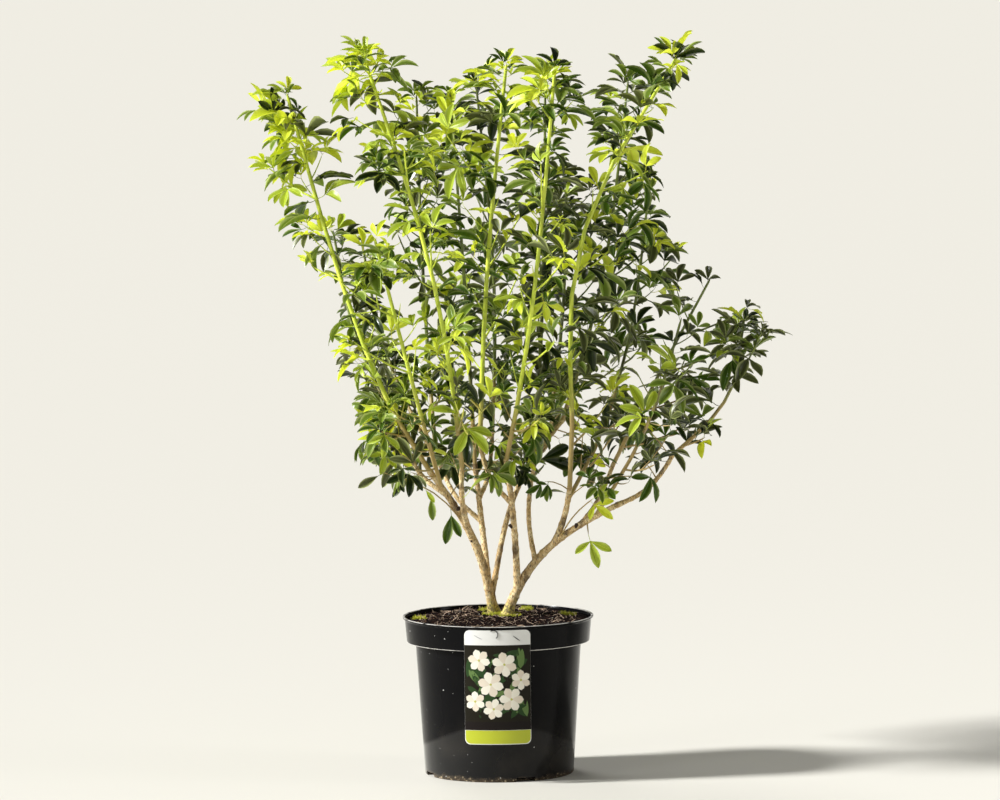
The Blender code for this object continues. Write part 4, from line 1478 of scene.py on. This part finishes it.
low_axes = []
for number, limb in enumerate(WOODY):
    chance = random.Random(LOW_SEED + number)
    points = routes[limb.name][0]
    for share in LOW_SHARES:
        base, direction = along(points, share)
        if base.z < LOW_FROM:
            continue
        length = chance.uniform(*LOW_LENGTHS)
        for attempt in range(LOW_TRIES):
            out = spread(direction, chance.uniform(0, math.tau), chance.uniform(*LOW_OPENINGS))
            line = twig_line(base, out, length, lift=0, sag=1)
            room = spaces.distances(limb.name, line[-1:])[1][0]
            if room > LOW_ROOM and line[-1].z > LOW_FROM and within_edges(line):
                low_axes.append(new_axis(limb.name, "fine", line, FINE_RADII, chance))
                spaces.add(limb.name, line, FINE_RADII[0])
                break
axes += low_axes
print(len(low_axes), "low twigs")

# %% [markdown]
# Three thin sprigs grow from the trunks below the crown, and their leaves hang. They are drawn in
# one by one, because they show so clearly in front of the bare stems.

# %% Low sprigs, each with its hanging leaves
SPRIG_RADII = (0.0013, 0.0009)
CAMERA_WARD = Vector((0.0, -1.0, 0.25))
# Each sprig, and its leaves: where along it, which way they point, their size, tone and form.
SPRIGS = [
    (
        Limb("sprig_left", "trunk_left", 0.55, (-0.165, -0.075, 0.452), (0.012, 0, 0.012), SPRIG_RADII),
        [
            (0.27, (0.08, -0.2, -0.95), 0.78, "deep", "two"),
            (0.52, (0.10, -0.3, -0.95), 0.66, "mid", "one"),
            (0.60, (0.50, -0.3, -0.60), 0.42, "fresh", "one"),
            (0.78, (-0.5, -0.3, -0.7), 0.52, "dark", "one"),
            (0.88, (0.5, -0.3, -0.8), 0.40, "dark", "one"),
            (1.0, (-0.8, -0.3, -0.5), 0.66, "grey", "one"),
        ],
    ),
    (
        Limb("sprig_right", "trunk_right", 0.56, (0.140, -0.085, 0.412), (-0.004, 0, 0.004), SPRIG_RADII),
        [
            (0.93, (0.7, -0.4, -0.55), 0.62, "lime", "three"),
            (1.0, (0.6, -0.4, 0.4), 0.60, "fresh", "two"),
        ],
    ),
    (
        Limb("sprig_low", "trunk_right", 0.78, (0.133, -0.060, 0.357), (0, 0, 0), SPRIG_RADII),
        [(1.0, (0.20, -0.25, -0.75), 0.74, "fresh", "three")],
    ),
]
sprig_leaves = []
for limb, wanted in SPRIGS:
    start = along(routes[limb.parent][0], limb.share)[0]
    points = route(start, limb.tip, limb.bow, limb.peak, SHOOT_RINGS)
    axes.append(Axis("sprigs", "sprig", points, limb.radii, []))
    for share, out, size, tone, form in wanted:
        sprig_leaves.append((along(points, share)[0], Vector(out), size, tone, form))
print(len(SPRIGS), "sprigs with", len(sprig_leaves), "leaves")

# %% [markdown]
# ## Bark and green stems
# A limb is a line with a thickness at each point. Geometry Nodes turn such lines into tubes, and
# push their surface in and out by noise stretched along the limb, which is what ridged bark is.
# One rule makes the woody limbs, the shoots and the twigs, with other sizes each time.

# %% A rule that turns lines into limbs
ALONG_LIMB = (1, 1, 0.28)


def limb_rule():
    inputs = {"Sides": "Int", "Relief": "Float", "Grain": "Float", "Seed": "Float", "Finish": "Material"}
    tree, nodes, given = rule("limb_rule", inputs)
    curve = nodes.add("GeometryNodeMeshToCurve", sockets={"Mesh": given["Geometry"]})
    circle = {"Resolution": given["Sides"], "Radius": 1.0}
    ring = nodes.add("GeometryNodeCurvePrimitiveCircle", sockets=circle)
    tube = nodes.add(
        "GeometryNodeCurveToMesh",
        sockets={"Curve": curve, "Profile Curve": ring, "Scale": named(nodes, "thick"), "Fill Caps": True},
    )
    spot = nodes.add("GeometryNodeInputPosition")
    stretched = nodes.add("ShaderNodeVectorMath", {"operation": "MULTIPLY"}, {0: spot, 1: ALONG_LIMB})
    grain = nodes.add(
        "ShaderNodeTexNoise",
        {"noise_dimensions": "4D"},
        {"Vector": stretched, "W": given["Seed"], "Scale": given["Grain"], "Detail": 3.0},
    )
    push = (grain - 0.5) * given["Relief"] * named(nodes, "rugged")
    outward = nodes.add("GeometryNodeInputNormal")
    offset = nodes.add("ShaderNodeVectorMath", {"operation": "SCALE"}, {0: outward, "Scale": push})
    shaped = nodes.add("GeometryNodeSetPosition", sockets={"Geometry": tube, "Offset": offset})
    smooth = nodes.add("GeometryNodeSetShadeSmooth", sockets={"Geometry": shaped})
    real = nodes.add("GeometryNodeRealizeInstances", sockets={"Geometry": smooth})
    done = nodes.add("GeometryNodeSetMaterial", sockets={"Geometry": real, "Material": given["Finish"]})
    nodes.add("NodeGroupOutput", sockets={"Geometry": done})
    return tree


LIMB_RULE = limb_rule()


def line_mesh(name, strands):
    """A mesh of loose lines, each a list of (point, thickness, ruggedness)."""
    places, edges, thick, rugged = [], [], [], []
    for strand in strands:
        first = len(places)
        places += [tuple(point) for point, radius, rough in strand]
        thick += [radius for point, radius, rough in strand]
        rugged += [rough for point, radius, rough in strand]
        edges += [(first + number, first + number + 1) for number in range(len(strand) - 1)]
    mesh = bpy.data.meshes.new(name)
    mesh.from_pydata(places, edges, [])
    carry(mesh, "thick", thick)
    carry(mesh, "rugged", rugged)
    return mesh


# %% [markdown]
# The two trunks flare and turn knobbly where they meet the compost. Further up the bark is
# smoother. A limb is a little thicker where it leaves another, and has low rings every few
# centimetres where old leaves stood. It is drawn slightly thin, because its relief stands proud of
# the solid. A few short dark stubs are left where twigs were cut.

# %% The woody limbs
BARK_STEP = 0.0022
BARK_SIDES = 18
STUB_SIDES = 10
BARK_THIN = 0.90
ROOT_SINK = 0.004
COLLAR = 0.0010
COLLAR_LENGTH = 0.010
SCAR_SPACING = (0.022, 0.045)
SCAR_SWELL = 0.13
SCAR_LENGTH = 0.0022
KNOBS = 7.0
KNOB_HEIGHT = 0.016
LIMB_SEED = 900
# Each stub: its limb, the share of the limb where it stands, and which way it points.
STUBS = (
    ("trunk_left", 0.46, (-0.6, -0.6, 0.5)),
    ("trunk_left", 0.69, (0.4, -0.8, 0.4)),
    ("trunk_right", 0.30, (0.8, -0.3, 0.5)),
    ("stem_centre", 0.45, (-0.7, -0.5, 0.5)),
    ("trunk_right", 0.70, (0.0, -0.8, 0.6)),
)
STUB_LENGTH = 0.009
STUB_RADIUS = 0.0033
STUB_TAPER = 0.00075
STUB_POINTS = (0, 0.4, 0.8, 1)
STUB_RUGGED = 2.5


def scars(length, chance):
    """How far along a limb each ring of an old leaf stands."""
    found, distance = [], chance.uniform(*SCAR_SPACING)
    while distance < length:
        found.append(distance)
        distance += chance.uniform(*SCAR_SPACING)
    return found


def dressed(points, radii, rooted, chance):
    """Adds a collar, leaf scars and a rugged foot to a limb's line."""
    rings = scars(length_of(points), chance)
    strand, run = [], 0.0
    for number, (point, radius) in enumerate(zip(points, radii)):
        run += (point - points[number - 1]).length if number else 0.0
        swell = sum(math.exp(-(((run - ring) / SCAR_LENGTH) ** 2)) for ring in rings)
        foot = math.exp((points[0].z - point.z) / KNOB_HEIGHT) if rooted else 0.0
        collar = 0.0 if rooted else COLLAR * math.exp(-((run / COLLAR_LENGTH) ** 2))
        thick = radius * (BARK_THIN + (1 - BARK_THIN) * foot + SCAR_SWELL * swell) + collar
        strand.append((point, thick, 1 + KNOBS * foot))
    return strand


chance = random.Random(LIMB_SEED)
strands = []
for limb in WOODY:
    rooted = limb in TRUNKS
    points, radii = limb_line(limb, math.ceil(length_of(routes[limb.name][0]) / BARK_STEP))
    if rooted:
        points = [points[0] - Vector((0, 0, ROOT_SINK)), *points]
        radii = [radii[0], *radii]
    strands.append(dressed(points, radii, rooted, chance))
stubs = []
for name, share, out in STUBS:
    base, direction = along(routes[name][0], share)
    reach = Vector(out).normalized() * STUB_LENGTH
    stub = [(base + reach * part, STUB_RADIUS - STUB_TAPER * part, STUB_RUGGED) for part in STUB_POINTS]
    stubs.append(stub)
print(len(strands), "woody limbs and", len(stubs), "stubs")

# %% [markdown]
# The bark is tan and paler in places, with dark fissures along the limb. It turns olive further up,
# where limbs are younger, and the feet of the trunks are crusted with moss.

# %% The finish of the bark
TAN = (0.60, 0.41, 0.18)
PALE = (0.86, 0.70, 0.40)
FISSURE = (0.075, 0.036, 0.016)
OLIVE = (0.38, 0.35, 0.08)
MOSS = (0.66, 0.56, 0.13)
MOSS_SHADE = (0.15, 0.12, 0.035)
GREENING = (0.42, 0.62)
MOSS_TOP = 0.262
MOSS_FADE = 0.022
ALONG_BARK = (1, 1, 0.22)
ALONG_STAINS = (1, 1, 0.5)
STUB_BROWN = (0.045, 0.026, 0.015)


def bark_look(nodes):
    level = coordinate(nodes, "Z")
    mottle = noise(nodes, 160, 3)
    stains = patches(nodes, 60, 4, 0.52, 0.66, ALONG_STAINS)
    grain = noise(nodes, 900, 4, ALONG_BARK)
    green = step(nodes, level + (noise(nodes, 45, 2) - 0.5) * 0.16, *GREENING)
    cracks = step(nodes, grain, 0.53, 0.63)
    moss = step(nodes, level + (noise(nodes, 130, 2) - 0.5) * 0.035, MOSS_TOP, MOSS_TOP - MOSS_FADE)
    crust = mixed(nodes, patches(nodes, 330, 4, 0.44, 0.58), MOSS_SHADE, MOSS)
    wood = ((step(nodes, mottle, 0.42, 0.66), PALE), (green * 0.75, OLIVE), (stains * 0.75, FISSURE))
    colour = layered(nodes, TAN, *wood, (cracks * 0.90, FISSURE), (moss * 0.85, crust))
    relief = grain * 0.6 + mottle * 0.4
    return principled(nodes, colour, 0.72 + grain * 0.15, normal=bump(nodes, relief, 0.0012))


finish = material("bark", bark_look)
bark_values = {"Sides": BARK_SIDES, "Relief": 0.0015, "Grain": 260.0, "Seed": 3.0, "Finish": finish}
bark = grown("bark", line_mesh("bark", strands), LIMB_RULE, bark_values)
hand_over(bark, "bark", *[limb.name for limb in WOODY])
bark_values |= {"Sides": STUB_SIDES, "Finish": material("stub_brown", plain_look(STUB_BROWN, 0.9))}
hand_over(grown("stubs", line_mesh("stubs", stubs), LIMB_RULE, bark_values), "bark", "trunk_left")

# %% [markdown]
# Young growth is green. The long shoots in front and on the left, in the light, are painted bright
# yellow-green, and those behind and on the right olive: painted light and painted shade on one stem
# colour. Two pieces carry those two finishes, each browner at its foot, and the twigs are two more.
# Every tip narrows to a point.

# %% Green shoots and twigs
SHOOT_STEP = 0.005
SHOOT_SIDES = 8
TWIG_SIDES = 5
# Painted light and painted shade: the lit stem colour and the shaded one, each with a darker streak colour.
PAINTED_LIT_STEM = (0.72, 0.82, 0.085)
LIME_STEM_SHADE = (0.50, 0.61, 0.050)
PAINTED_SHADED_STEM = (0.20, 0.25, 0.050)
OLIVE_STEM_SHADE = (0.080, 0.095, 0.028)
STEM_BROWN = (0.44, 0.31, 0.115)
STEM_BROWNING = (0.60, 0.50)
ALONG_STEM = (1, 1, 0.15)
TIP_TAPER = 0.010
TIP_END = 0.25


def stem_look(light, shade):
    def look(nodes):
        streak = noise(nodes, 150, 3, ALONG_STEM)
        wander = (noise(nodes, 30, 2) - 0.5) * 0.12
        brown = step(nodes, coordinate(nodes, "Z") + wander, *STEM_BROWNING)
        colour = layered(nodes, light, (step(nodes, streak, 0.40, 0.64), shade), (brown * 0.95, STEM_BROWN))
        return principled(nodes, colour, 0.42, normal=bump(nodes, streak, 0.0003))

    return look


def smooth_strand(axis):
    """An axis's line, with points close enough together to bend smoothly."""
    length = length_of(axis.points)
    count = max(4, math.ceil(length / SHOOT_STEP))
    strand = []
    for share, radius in zip(even_shares(count), taper(axis.radii, count)):
        pointed = min(1.0, TIP_END + (1 - share) * length / TIP_TAPER)
        strand.append((along(axis.points, share)[0], radius * pointed, 1.0))
    return strand


# The sunny and shaded groups are lit and shaded copies of one stem finish: painted light and painted shade.
STEM_GROUPS = {
    "shoots_sunny": (SHOOT_SIDES, PAINTED_LIT_STEM, LIME_STEM_SHADE),
    "shoots_shaded": (SHOOT_SIDES, PAINTED_SHADED_STEM, OLIVE_STEM_SHADE),
    "twigs_sunny": (TWIG_SIDES, PAINTED_LIT_STEM, LIME_STEM_SHADE),
    "twigs_shaded": (TWIG_SIDES, PAINTED_SHADED_STEM, OLIVE_STEM_SHADE),
}
for name, (sides, light, shade) in STEM_GROUPS.items():
    sunny = name.endswith("sunny")
    wanted = ("shoot",) if name.startswith("shoots") else ("twig", "fine", "sprig")
    chosen = [axis for axis in axes if axis.kind in wanted and (axis.mass in SUNNY_SHOOTS) == sunny]
    finish = material(name, stem_look(light, shade))
    values = {"Sides": sides, "Relief": 0.0003, "Grain": 200.0, "Seed": 5.0, "Finish": finish}
    piece = grown(name, line_mesh(name, map(smooth_strand, chosen)), LIMB_RULE, values)
    hand_over(piece, "foliage", *MASSES)

# %% [markdown]
# ## The leaf
# A leaf is three leaflets on one thin stalk, and a few have two or one. A leaflet is widest a little
# past its middle and narrows to both ends. It is folded along its midrib, arched over so that its
# tip droops, and slightly wavy.

# %% The sizes and forms of the leaves
STALK = 0.015
STALK_HALF = 0.0006
STALK_ROWS = 3
STALK_CORNERS = ((0, 1), (0.87, -0.5), (-0.87, -0.5))
STALK_SAG = 0.001
LEAFLET = 0.053
LEAFLET_WIDTH = 0.0190
MIDRIB_HALF = 0.00055
SIDE_SHARE = 0.86
SIDE_TURN = math.radians(54)
PAIR_OF_TWO = 0.38
SHARE_OF_TWO = 0.92
LEAF_ROWS = (0.0, 0.10, 0.26, 0.44, 0.62, 0.80, 0.93, 1.0)
LEAF_COLUMNS = (-1.0, -0.55, 0.0, 0.0, 0.55, 1.0)
RIB_COLUMN = 2
LEAFLET_SKEW = 1.45
LEAFLET_BLUNT = 0.66
FOOT_TAPER = 1.6
RIB_TAPER = 1.2
WAVE_TURNS = 9
# Each form: the turn and the share of the full length of each of its leaflets.
LEAFLETS = {
    "three": ((-SIDE_TURN, SIDE_SHARE), (0.0, 1.0), (SIDE_TURN, SIDE_SHARE)),
    "two": ((-PAIR_OF_TWO, 1.0), (PAIR_OF_TWO, SHARE_OF_TWO)),
    "one": ((0.0, 1.0),),
}
LEAF_FORMS = [*["three"] * 6, "two", "one"]
# From which to which of these forms a leaf may have, in the crown and on a low twig.
CROWN_FORMS = (0, 7)
LOW_FORMS = (3, 8)
# What varies from leaflet to leaflet: its arch, its rise, its fold and its waviness.
ARCHES = (0.12, 0.55)
RISES = (0.05, 0.32)
FOLDS = (0.35, 0.95)
WAVES = (0.0, 0.0014)
LEAFLET_SHARES = (0.88, 1.06)
LEAFLET_ASIDE = 0.09
LEAF_SEED = 40


def half_width(share):
    """The leaflet's outline: how far its edge is from its midrib, narrow at the foot."""
    swell = math.sin(math.pi * share**LEAFLET_SKEW) if 0 < share < 1 else 0.0
    return max(LEAFLET_WIDTH / 2 * swell**LEAFLET_BLUNT, MIDRIB_HALF * (FOOT_TAPER - share))


print("widest at", max(range(1, 100), key=lambda part: half_width(part / 100)), "hundredths of its length")

# %% [markdown]
# A few slightly different leaves are modelled as open sheets in their own outline, with the midrib
# as a paler strip. Each point knows how near the edge it is, which gives the blade its painted rim
# highlight.
# Every leaf on the plant is a copy of one of them.


# %% A few leaves to copy
def add_leaflet(places, faces, ribs, turn, share, chance):
    """One leaflet: rows of points from its foot to its tip."""
    arch = chance.uniform(*ARCHES)
    rise = chance.uniform(*RISES)
    fold = chance.uniform(*FOLDS)
    wave = chance.uniform(*WAVES)
    phase = chance.uniform(0, math.tau)
    across = Matrix.Rotation(turn, 3, "Z")
    first = len(places)
    length = LEAFLET * share
    for row in LEAF_ROWS:
        half = half_width(row) * share
        for column, side in enumerate(LEAF_COLUMNS):
            rib = math.copysign(MIDRIB_HALF * (RIB_TAPER - row), column - RIB_COLUMN - 0.5)
            out = side * half if side else rib
            lift = fold * abs(out) + wave * abs(side) * math.sin(WAVE_TURNS * row + phase + side)
            spot = Vector((length * row, out, length * (rise * row - arch * row**2) + lift))
            places.append(across @ spot + Vector((STALK, 0, 0)))
    columns = len(LEAF_COLUMNS)
    for row in range(len(LEAF_ROWS) - 1):
        for column in range(columns - 1):
            here = first + row * columns + column
            faces.append((here, here + columns, here + columns + 1, here + 1))
            ribs.append(column == RIB_COLUMN)


def leaf_mesh(number):
    """One leaf: a three-sided stalk, and its leaflets at the stalk's end."""
    chance = random.Random(LEAF_SEED + number)
    places, faces, ribs = [], [], []
    edges = [0.0] * (3 * STALK_ROWS)
    for row in range(STALK_ROWS):
        middle = Vector((STALK * row / 2, 0, -STALK_SAG * math.sin(math.pi * row / 2)))
        places += [middle + Vector((0, STALK_HALF * y, STALK_HALF * z)) for y, z in STALK_CORNERS]
    for here in range(3 * (STALK_ROWS - 1)):
        row, corner = divmod(here, 3)
        there = 3 * row + (corner + 1) % 3
        faces.append((here, there, there + 3, here + 3))
        ribs.append(True)
    for turn, share in LEAFLETS[LEAF_FORMS[number]]:
        turn += chance.gauss(0, LEAFLET_ASIDE)
        add_leaflet(places, faces, ribs, turn, share * chance.uniform(*LEAFLET_SHARES), chance)
        edges += [abs(side) for row in LEAF_ROWS for side in LEAF_COLUMNS]
    mesh = bpy.data.meshes.new(f"leaf_{number}")
    mesh.from_pydata([tuple(spot) for spot in places], [], faces)
    carry(mesh, "rib", ribs, "BOOLEAN", "FACE")
    carry(mesh, "edge", edges)
    mesh.shade_smooth()
    return mesh


leaf_models = shelf("leaf", [leaf_mesh(number) for number in range(len(LEAF_FORMS))])
print(len(LEAF_FORMS), "leaves to copy, of up to", len(leaf_models.objects[0].data.polygons), "faces")

# %% [markdown]
# ## Where the leaves stand
# Young leaves near the tips are lime and old ones darker. Leaves high up, on the left and in front,
# where the key lamp falls, are also painted lighter, and those low down, behind and at the right are
# painted darker as shade. So a score adds up what lightens a leaf, with some chance, and steps turn
# it into a tone.

# %% The tone of a leaf
TONES = ["lime", "fresh", "mid", "deep", "dark", "grey"]
TONE_STEPS = (0.76, 0.62, 0.49, 0.35, 0.20)
TONE_CHANCE = (-0.09, 0.27)
YOUNG_REACH = 0.06
# How much it lightens a leaf to be high, at the left and in front, which is painted light, and to be young.
LIGHT_AND_YOUTH = (0.30, 0.36, 0.22, 0.16)


def tone_of(spot, distance, chance):
    """Lime for young leaves and, as painted light, for leaves high, left and in front; painted shade darkens
    the rest.
    """
    high = (spot.z - CROWN_LOW[2]) / (CROWN_HIGH[2] - CROWN_LOW[2])
    left = (CROWN_HIGH[0] - spot.x) / (CROWN_HIGH[0] - CROWN_LOW[0])
    front = (CROWN_HIGH[1] - spot.y) / (CROWN_HIGH[1] - CROWN_LOW[1])
    young = math.exp(-distance / YOUNG_REACH)
    parts = zip(LIGHT_AND_YOUTH, (high, left, front, young))
    score = sum(weight * part for weight, part in parts) + chance.gauss(*TONE_CHANCE)
    return TONES[sum(score < step_down for step_down in TONE_STEPS)]


print("tones from light to dark:", ", ".join(TONES))

# %% [markdown]
# On the side of the light a sunny shoot shows bare between its leaves. So most leaves that would
# stand in front of one, as the camera sees it, look for another place.

# %% Keeping the sunny shoots in view
VIEW_GAP = 0.007
VIEW_TOP = 0.95
VIEW_SHARE = 0.85
VIEW_SAMPLES = 84
STALK_END = 0.3
VIEW_PARTS = (0.4, 0.7, 1.0)

sunny = [axis for axis in axes if axis.kind == "shoot" and axis.mass in SUNNY_SHOOTS]
SUNNY_LINES = np.array([along(axis.points, part / 100)[0] for axis in sunny for part in range(VIEW_SAMPLES)])


def hides_a_shoot(samples):
    """Whether a leaf, from samples of its stalk and tips, stands in front of a sunny shoot."""
    points = [samples[0], *(samples[0].lerp(tip, part) for tip in samples[1:] for part in VIEW_PARTS)]
    points = np.array(points)[:, None, :]
    aside = np.hypot(points[..., 0] - SUNNY_LINES[:, 0], points[..., 2] - SUNNY_LINES[:, 2])
    before = points[..., 1] < SUNNY_LINES[:, 1]
    return bool((before & (aside < VIEW_GAP) & (SUNNY_LINES[:, 2] < VIEW_TOP)).any())


print(len(sunny), "sunny shoots kept in view up to", VIEW_TOP, "m")

# %% [markdown]
# Every node may hold a pair of leaves. Leaves at a tip are small and stand up, and further down they
# open wide. A leaf's upper side turns to the sky, and a few leaves hang, most of them on the low
# twigs. A leaf that would leave its mass's own space or the outline, or stand too close to another,
# is turned aside and made smaller, and after a few tries left out.

# %% Room for one leaf
LEAF_OPENINGS = (math.radians(46), math.radians(88))
OPENING_REACH = 0.030
LEAF_SIZES = (0.66, 1.0)
SIZE_REACH = 0.030
SIZE_CHANCE = (0.62, 1.14)
HANGING = 0.14
HANGING_LOW = 0.60
LOW_CLEARANCE = 0.002
LOW_REACH = 0.362
HANG = (0.5, 1.3)
LEAF_TRIES = 4
LEAF_ASIDE = math.radians(20)
LEAF_SMALLER = 0.94
LEAF_SPACE = 0.010
OUT_CHANCE = 0.16
# A leaf's upper side turns a little along its axis and to the front, but mostly to the sky.
UP_ALONG = 0.15
UP_FRONT = -0.08
UP_SKY = 0.9
UP_CHANCE = 0.24
HANG_CHANCE = 0.5
# The tips of the leaflets, which show how far a leaf reaches.
LEAF_TIPS = (
    (STALK + LEAFLET, 0, -0.006),
    (STALK + 0.022, 0.034, -0.004),
    (STALK + 0.022, -0.034, -0.004),
)


def frame_of(out, up):
    """The turn of a leaf that points out and whose upper side faces up."""
    out = out.normalized()
    up = (up - out * up.dot(out)).normalized()
    return Matrix((out, up.cross(out), up)).transposed()


def place_leaf(axis, node, half, taken, spaces, chance):
    """A leaf at one side of a node, or None where it finds no room."""
    base, direction, azimuth, distance = node
    open_share = min(1.0, distance / OPENING_REACH)
    opening = LEAF_OPENINGS[0] + (LEAF_OPENINGS[1] - LEAF_OPENINGS[0]) * open_share
    size_share = min(1.0, distance / SIZE_REACH)
    size = (LEAF_SIZES[0] + (LEAF_SIZES[1] - LEAF_SIZES[0]) * size_share) * chance.uniform(*SIZE_CHANCE)
    low = axis.mass in routes
    hangs = chance.random() < (HANGING_LOW if low else HANGING * open_share)
    hang = chance.uniform(*HANG) if hangs else 0.0
    bares = chance.random() < VIEW_SHARE
    for attempt in range(LEAF_TRIES):
        aside = LEAF_ASIDE * attempt * (-1) ** attempt
        out = spread(direction, azimuth + half + aside, opening + chance.gauss(0, OUT_CHANCE))
        out = (out - Vector((0, 0, hang))).normalized()
        up = Vector((chance.gauss(0, UP_CHANCE), chance.gauss(UP_FRONT, UP_CHANCE), UP_SKY))
        up = direction * UP_ALONG + up
        if low and hangs:
            up = CAMERA_WARD + Vector((chance.gauss(0, HANG_CHANCE), 0, 0))
        turn = frame_of(out, up)
        samples = [base + size * (turn @ Vector(tip)) for tip in LEAF_TIPS]
        own, other = spaces.distances(axis.mass, samples)
        alone = all((samples[0] - tip).length > LEAF_SPACE for tip in taken)
        inside = min(spot.z for spot in samples) > LOW_REACH if low else within_crown(samples)
        roomy = (other > LOW_CLEARANCE if low else own + MASS_CLEARANCE < other).all()
        hides = bares and hides_a_shoot([base + STALK_END * (samples[0] - base), *samples])
        if alone and inside and roomy and within_edges(samples) and not hides:
            taken.append(samples[0])
            tone = tone_of(base, distance, chance)
            form = chance.randrange(*(LOW_FORMS if low else CROWN_FORMS))
            return Copy(base, tuple(turn.to_euler()), size, form, tone)
        size *= LEAF_SMALLER
    return None


openings = " to ".join(f"{math.degrees(opening):.0f}" for opening in LEAF_OPENINGS)
print("leaves open", openings, "degrees from their axis")

# %% [markdown]
# How leafy the shrub is changes with height: its middle is loose, its top and foot are dense. Some
# masses are leafier or barer than that, so they have a factor of their own. The leaves of the sprigs
# come last, as drawn.

# %% Leaves dealt out along the axes
LEAF_CHANCES = {"shoot": 0.97, "twig": 0.84, "fine": 0.84}
LEAFY_HEIGHTS = (0.42, 0.52, 0.62, 0.78, 0.90, 1.04)
LEAFY_SHARES = (0.95, 0.84, 0.54, 0.50, 0.60, 0.92)
LEAFINESS = {
    "foliage_far_left": 1.12,
    "foliage_far_right": 1.25,
    "foliage_right_back": 0.54,
    "foliage_right_front": 0.34,
    "foliage_middle": 0.80,
    "foliage_rear": 0.80,
    "foliage_rear_left": 0.80,
    "trunk_right": 0.50,
    "bough_right_back": 0.50,
    "bough_far_right": 0.60,
}
DEAL_SEED = 300

leaves = []
for number, name in enumerate([*MASSES, *routes]):
    chance = random.Random(DEAL_SEED + number)
    taken = []
    for axis in axes:
        if axis.mass != name:
            continue
        share = LEAF_CHANCES[axis.kind] * LEAFINESS.get(name, 1.0)
        for node in axis.nodes:
            leafy = share * np.interp(node[0].z, LEAFY_HEIGHTS, LEAFY_SHARES)
            for half in (0, math.pi):
                if chance.random() < leafy:
                    leaves.append(place_leaf(axis, node, half, taken, spaces, chance))
leaves = [leaf for leaf in leaves if leaf]
for base, out, size, tone, form in sprig_leaves:
    turn = frame_of(out, CAMERA_WARD)
    leaves.append(Copy(base, tuple(turn.to_euler()), size, LEAF_FORMS.index(form), tone))
leaflets = sum(len(LEAFLETS[LEAF_FORMS[leaf.model]]) for leaf in leaves)
print(len(leaves), "leaves with", leaflets, "leaflets")

# %% [markdown]
# A leaf is thin enough for light to pass through, so its shader mixes a glossy surface with a
# translucent one, and more of the second in the young lime leaves. Each tone has one plain colour,
# a paler midrib and a paler rim, which is a painted highlight along the leaf's edge.

# %% The tones of the leaves
# Each tone: its colour, how much light passes through, its roughness, and how strong its painted rim
# highlight is.
LEAF_COLOURS = {
    "lime": ((0.72, 0.83, 0.060), 0.36, 0.34, 0.35),
    "fresh": ((0.41, 0.53, 0.044), 0.30, 0.32, 0.45),
    "mid": ((0.145, 0.22, 0.026), 0.24, 0.28, 0.50),
    "deep": ((0.044, 0.094, 0.005), 0.18, 0.26, 0.30),
    "dark": ((0.013, 0.027, 0.004), 0.10, 0.28, 0.16),
    "grey": ((0.078, 0.092, 0.030), 0.10, 0.32, 0.35),
}
LEAF_SHINE = 0.32
GLOW_TINT = (1.25, 1.15, 0.6)
RIB_LIFT = 1.6
RIB_BASE = 0.02
PALEST = 0.8
# The painted highlight along each leaf's edge: where it fades in towards the edge, and its colour.
RIM_HIGHLIGHT_SPAN = (0.50, 0.95)
PAINTED_RIM_HIGHLIGHT = (0.78, 0.86, 0.32)


def leaf_look(colour, through, roughness, rim):
    def look(nodes):
        edge = nodes.add("ShaderNodeAttribute", {"attribute_name": "edge"})["Fac"]
        # The pale rim is a painted highlight along the leaf's edge.
        shade = mixed(nodes, step(nodes, edge, *RIM_HIGHLIGHT_SPAN) * rim, colour, PAINTED_RIM_HIGHLIGHT)
        blade = principled(nodes, shade, roughness, specular_ior_level=LEAF_SHINE)
        glow = tuple(min(1.0, part * tint) for part, tint in zip(colour, GLOW_TINT))
        back = nodes.add("ShaderNodeBsdfTranslucent", sockets={"Color": (*glow, 1.0)})
        return nodes.add("ShaderNodeMixShader", sockets={0: through, 1: blade, 2: back})

    return look


for tone in TONES:
    chosen = [leaf for leaf in leaves if leaf.tone == tone]
    colour, through, roughness, rim = LEAF_COLOURS[tone]
    pale = tuple(min(PALEST, part * RIB_LIFT + RIB_BASE) for part in colour)
    blade = material(f"leaf_{tone}", leaf_look(colour, through, roughness, rim))
    midrib = material(f"midrib_{tone}", leaf_look(pale, through, roughness, 0.0))
    piece = copied(f"leaves_{tone}", chosen, leaf_models, blade, midrib)
    hand_over(piece, "foliage", *MASSES)
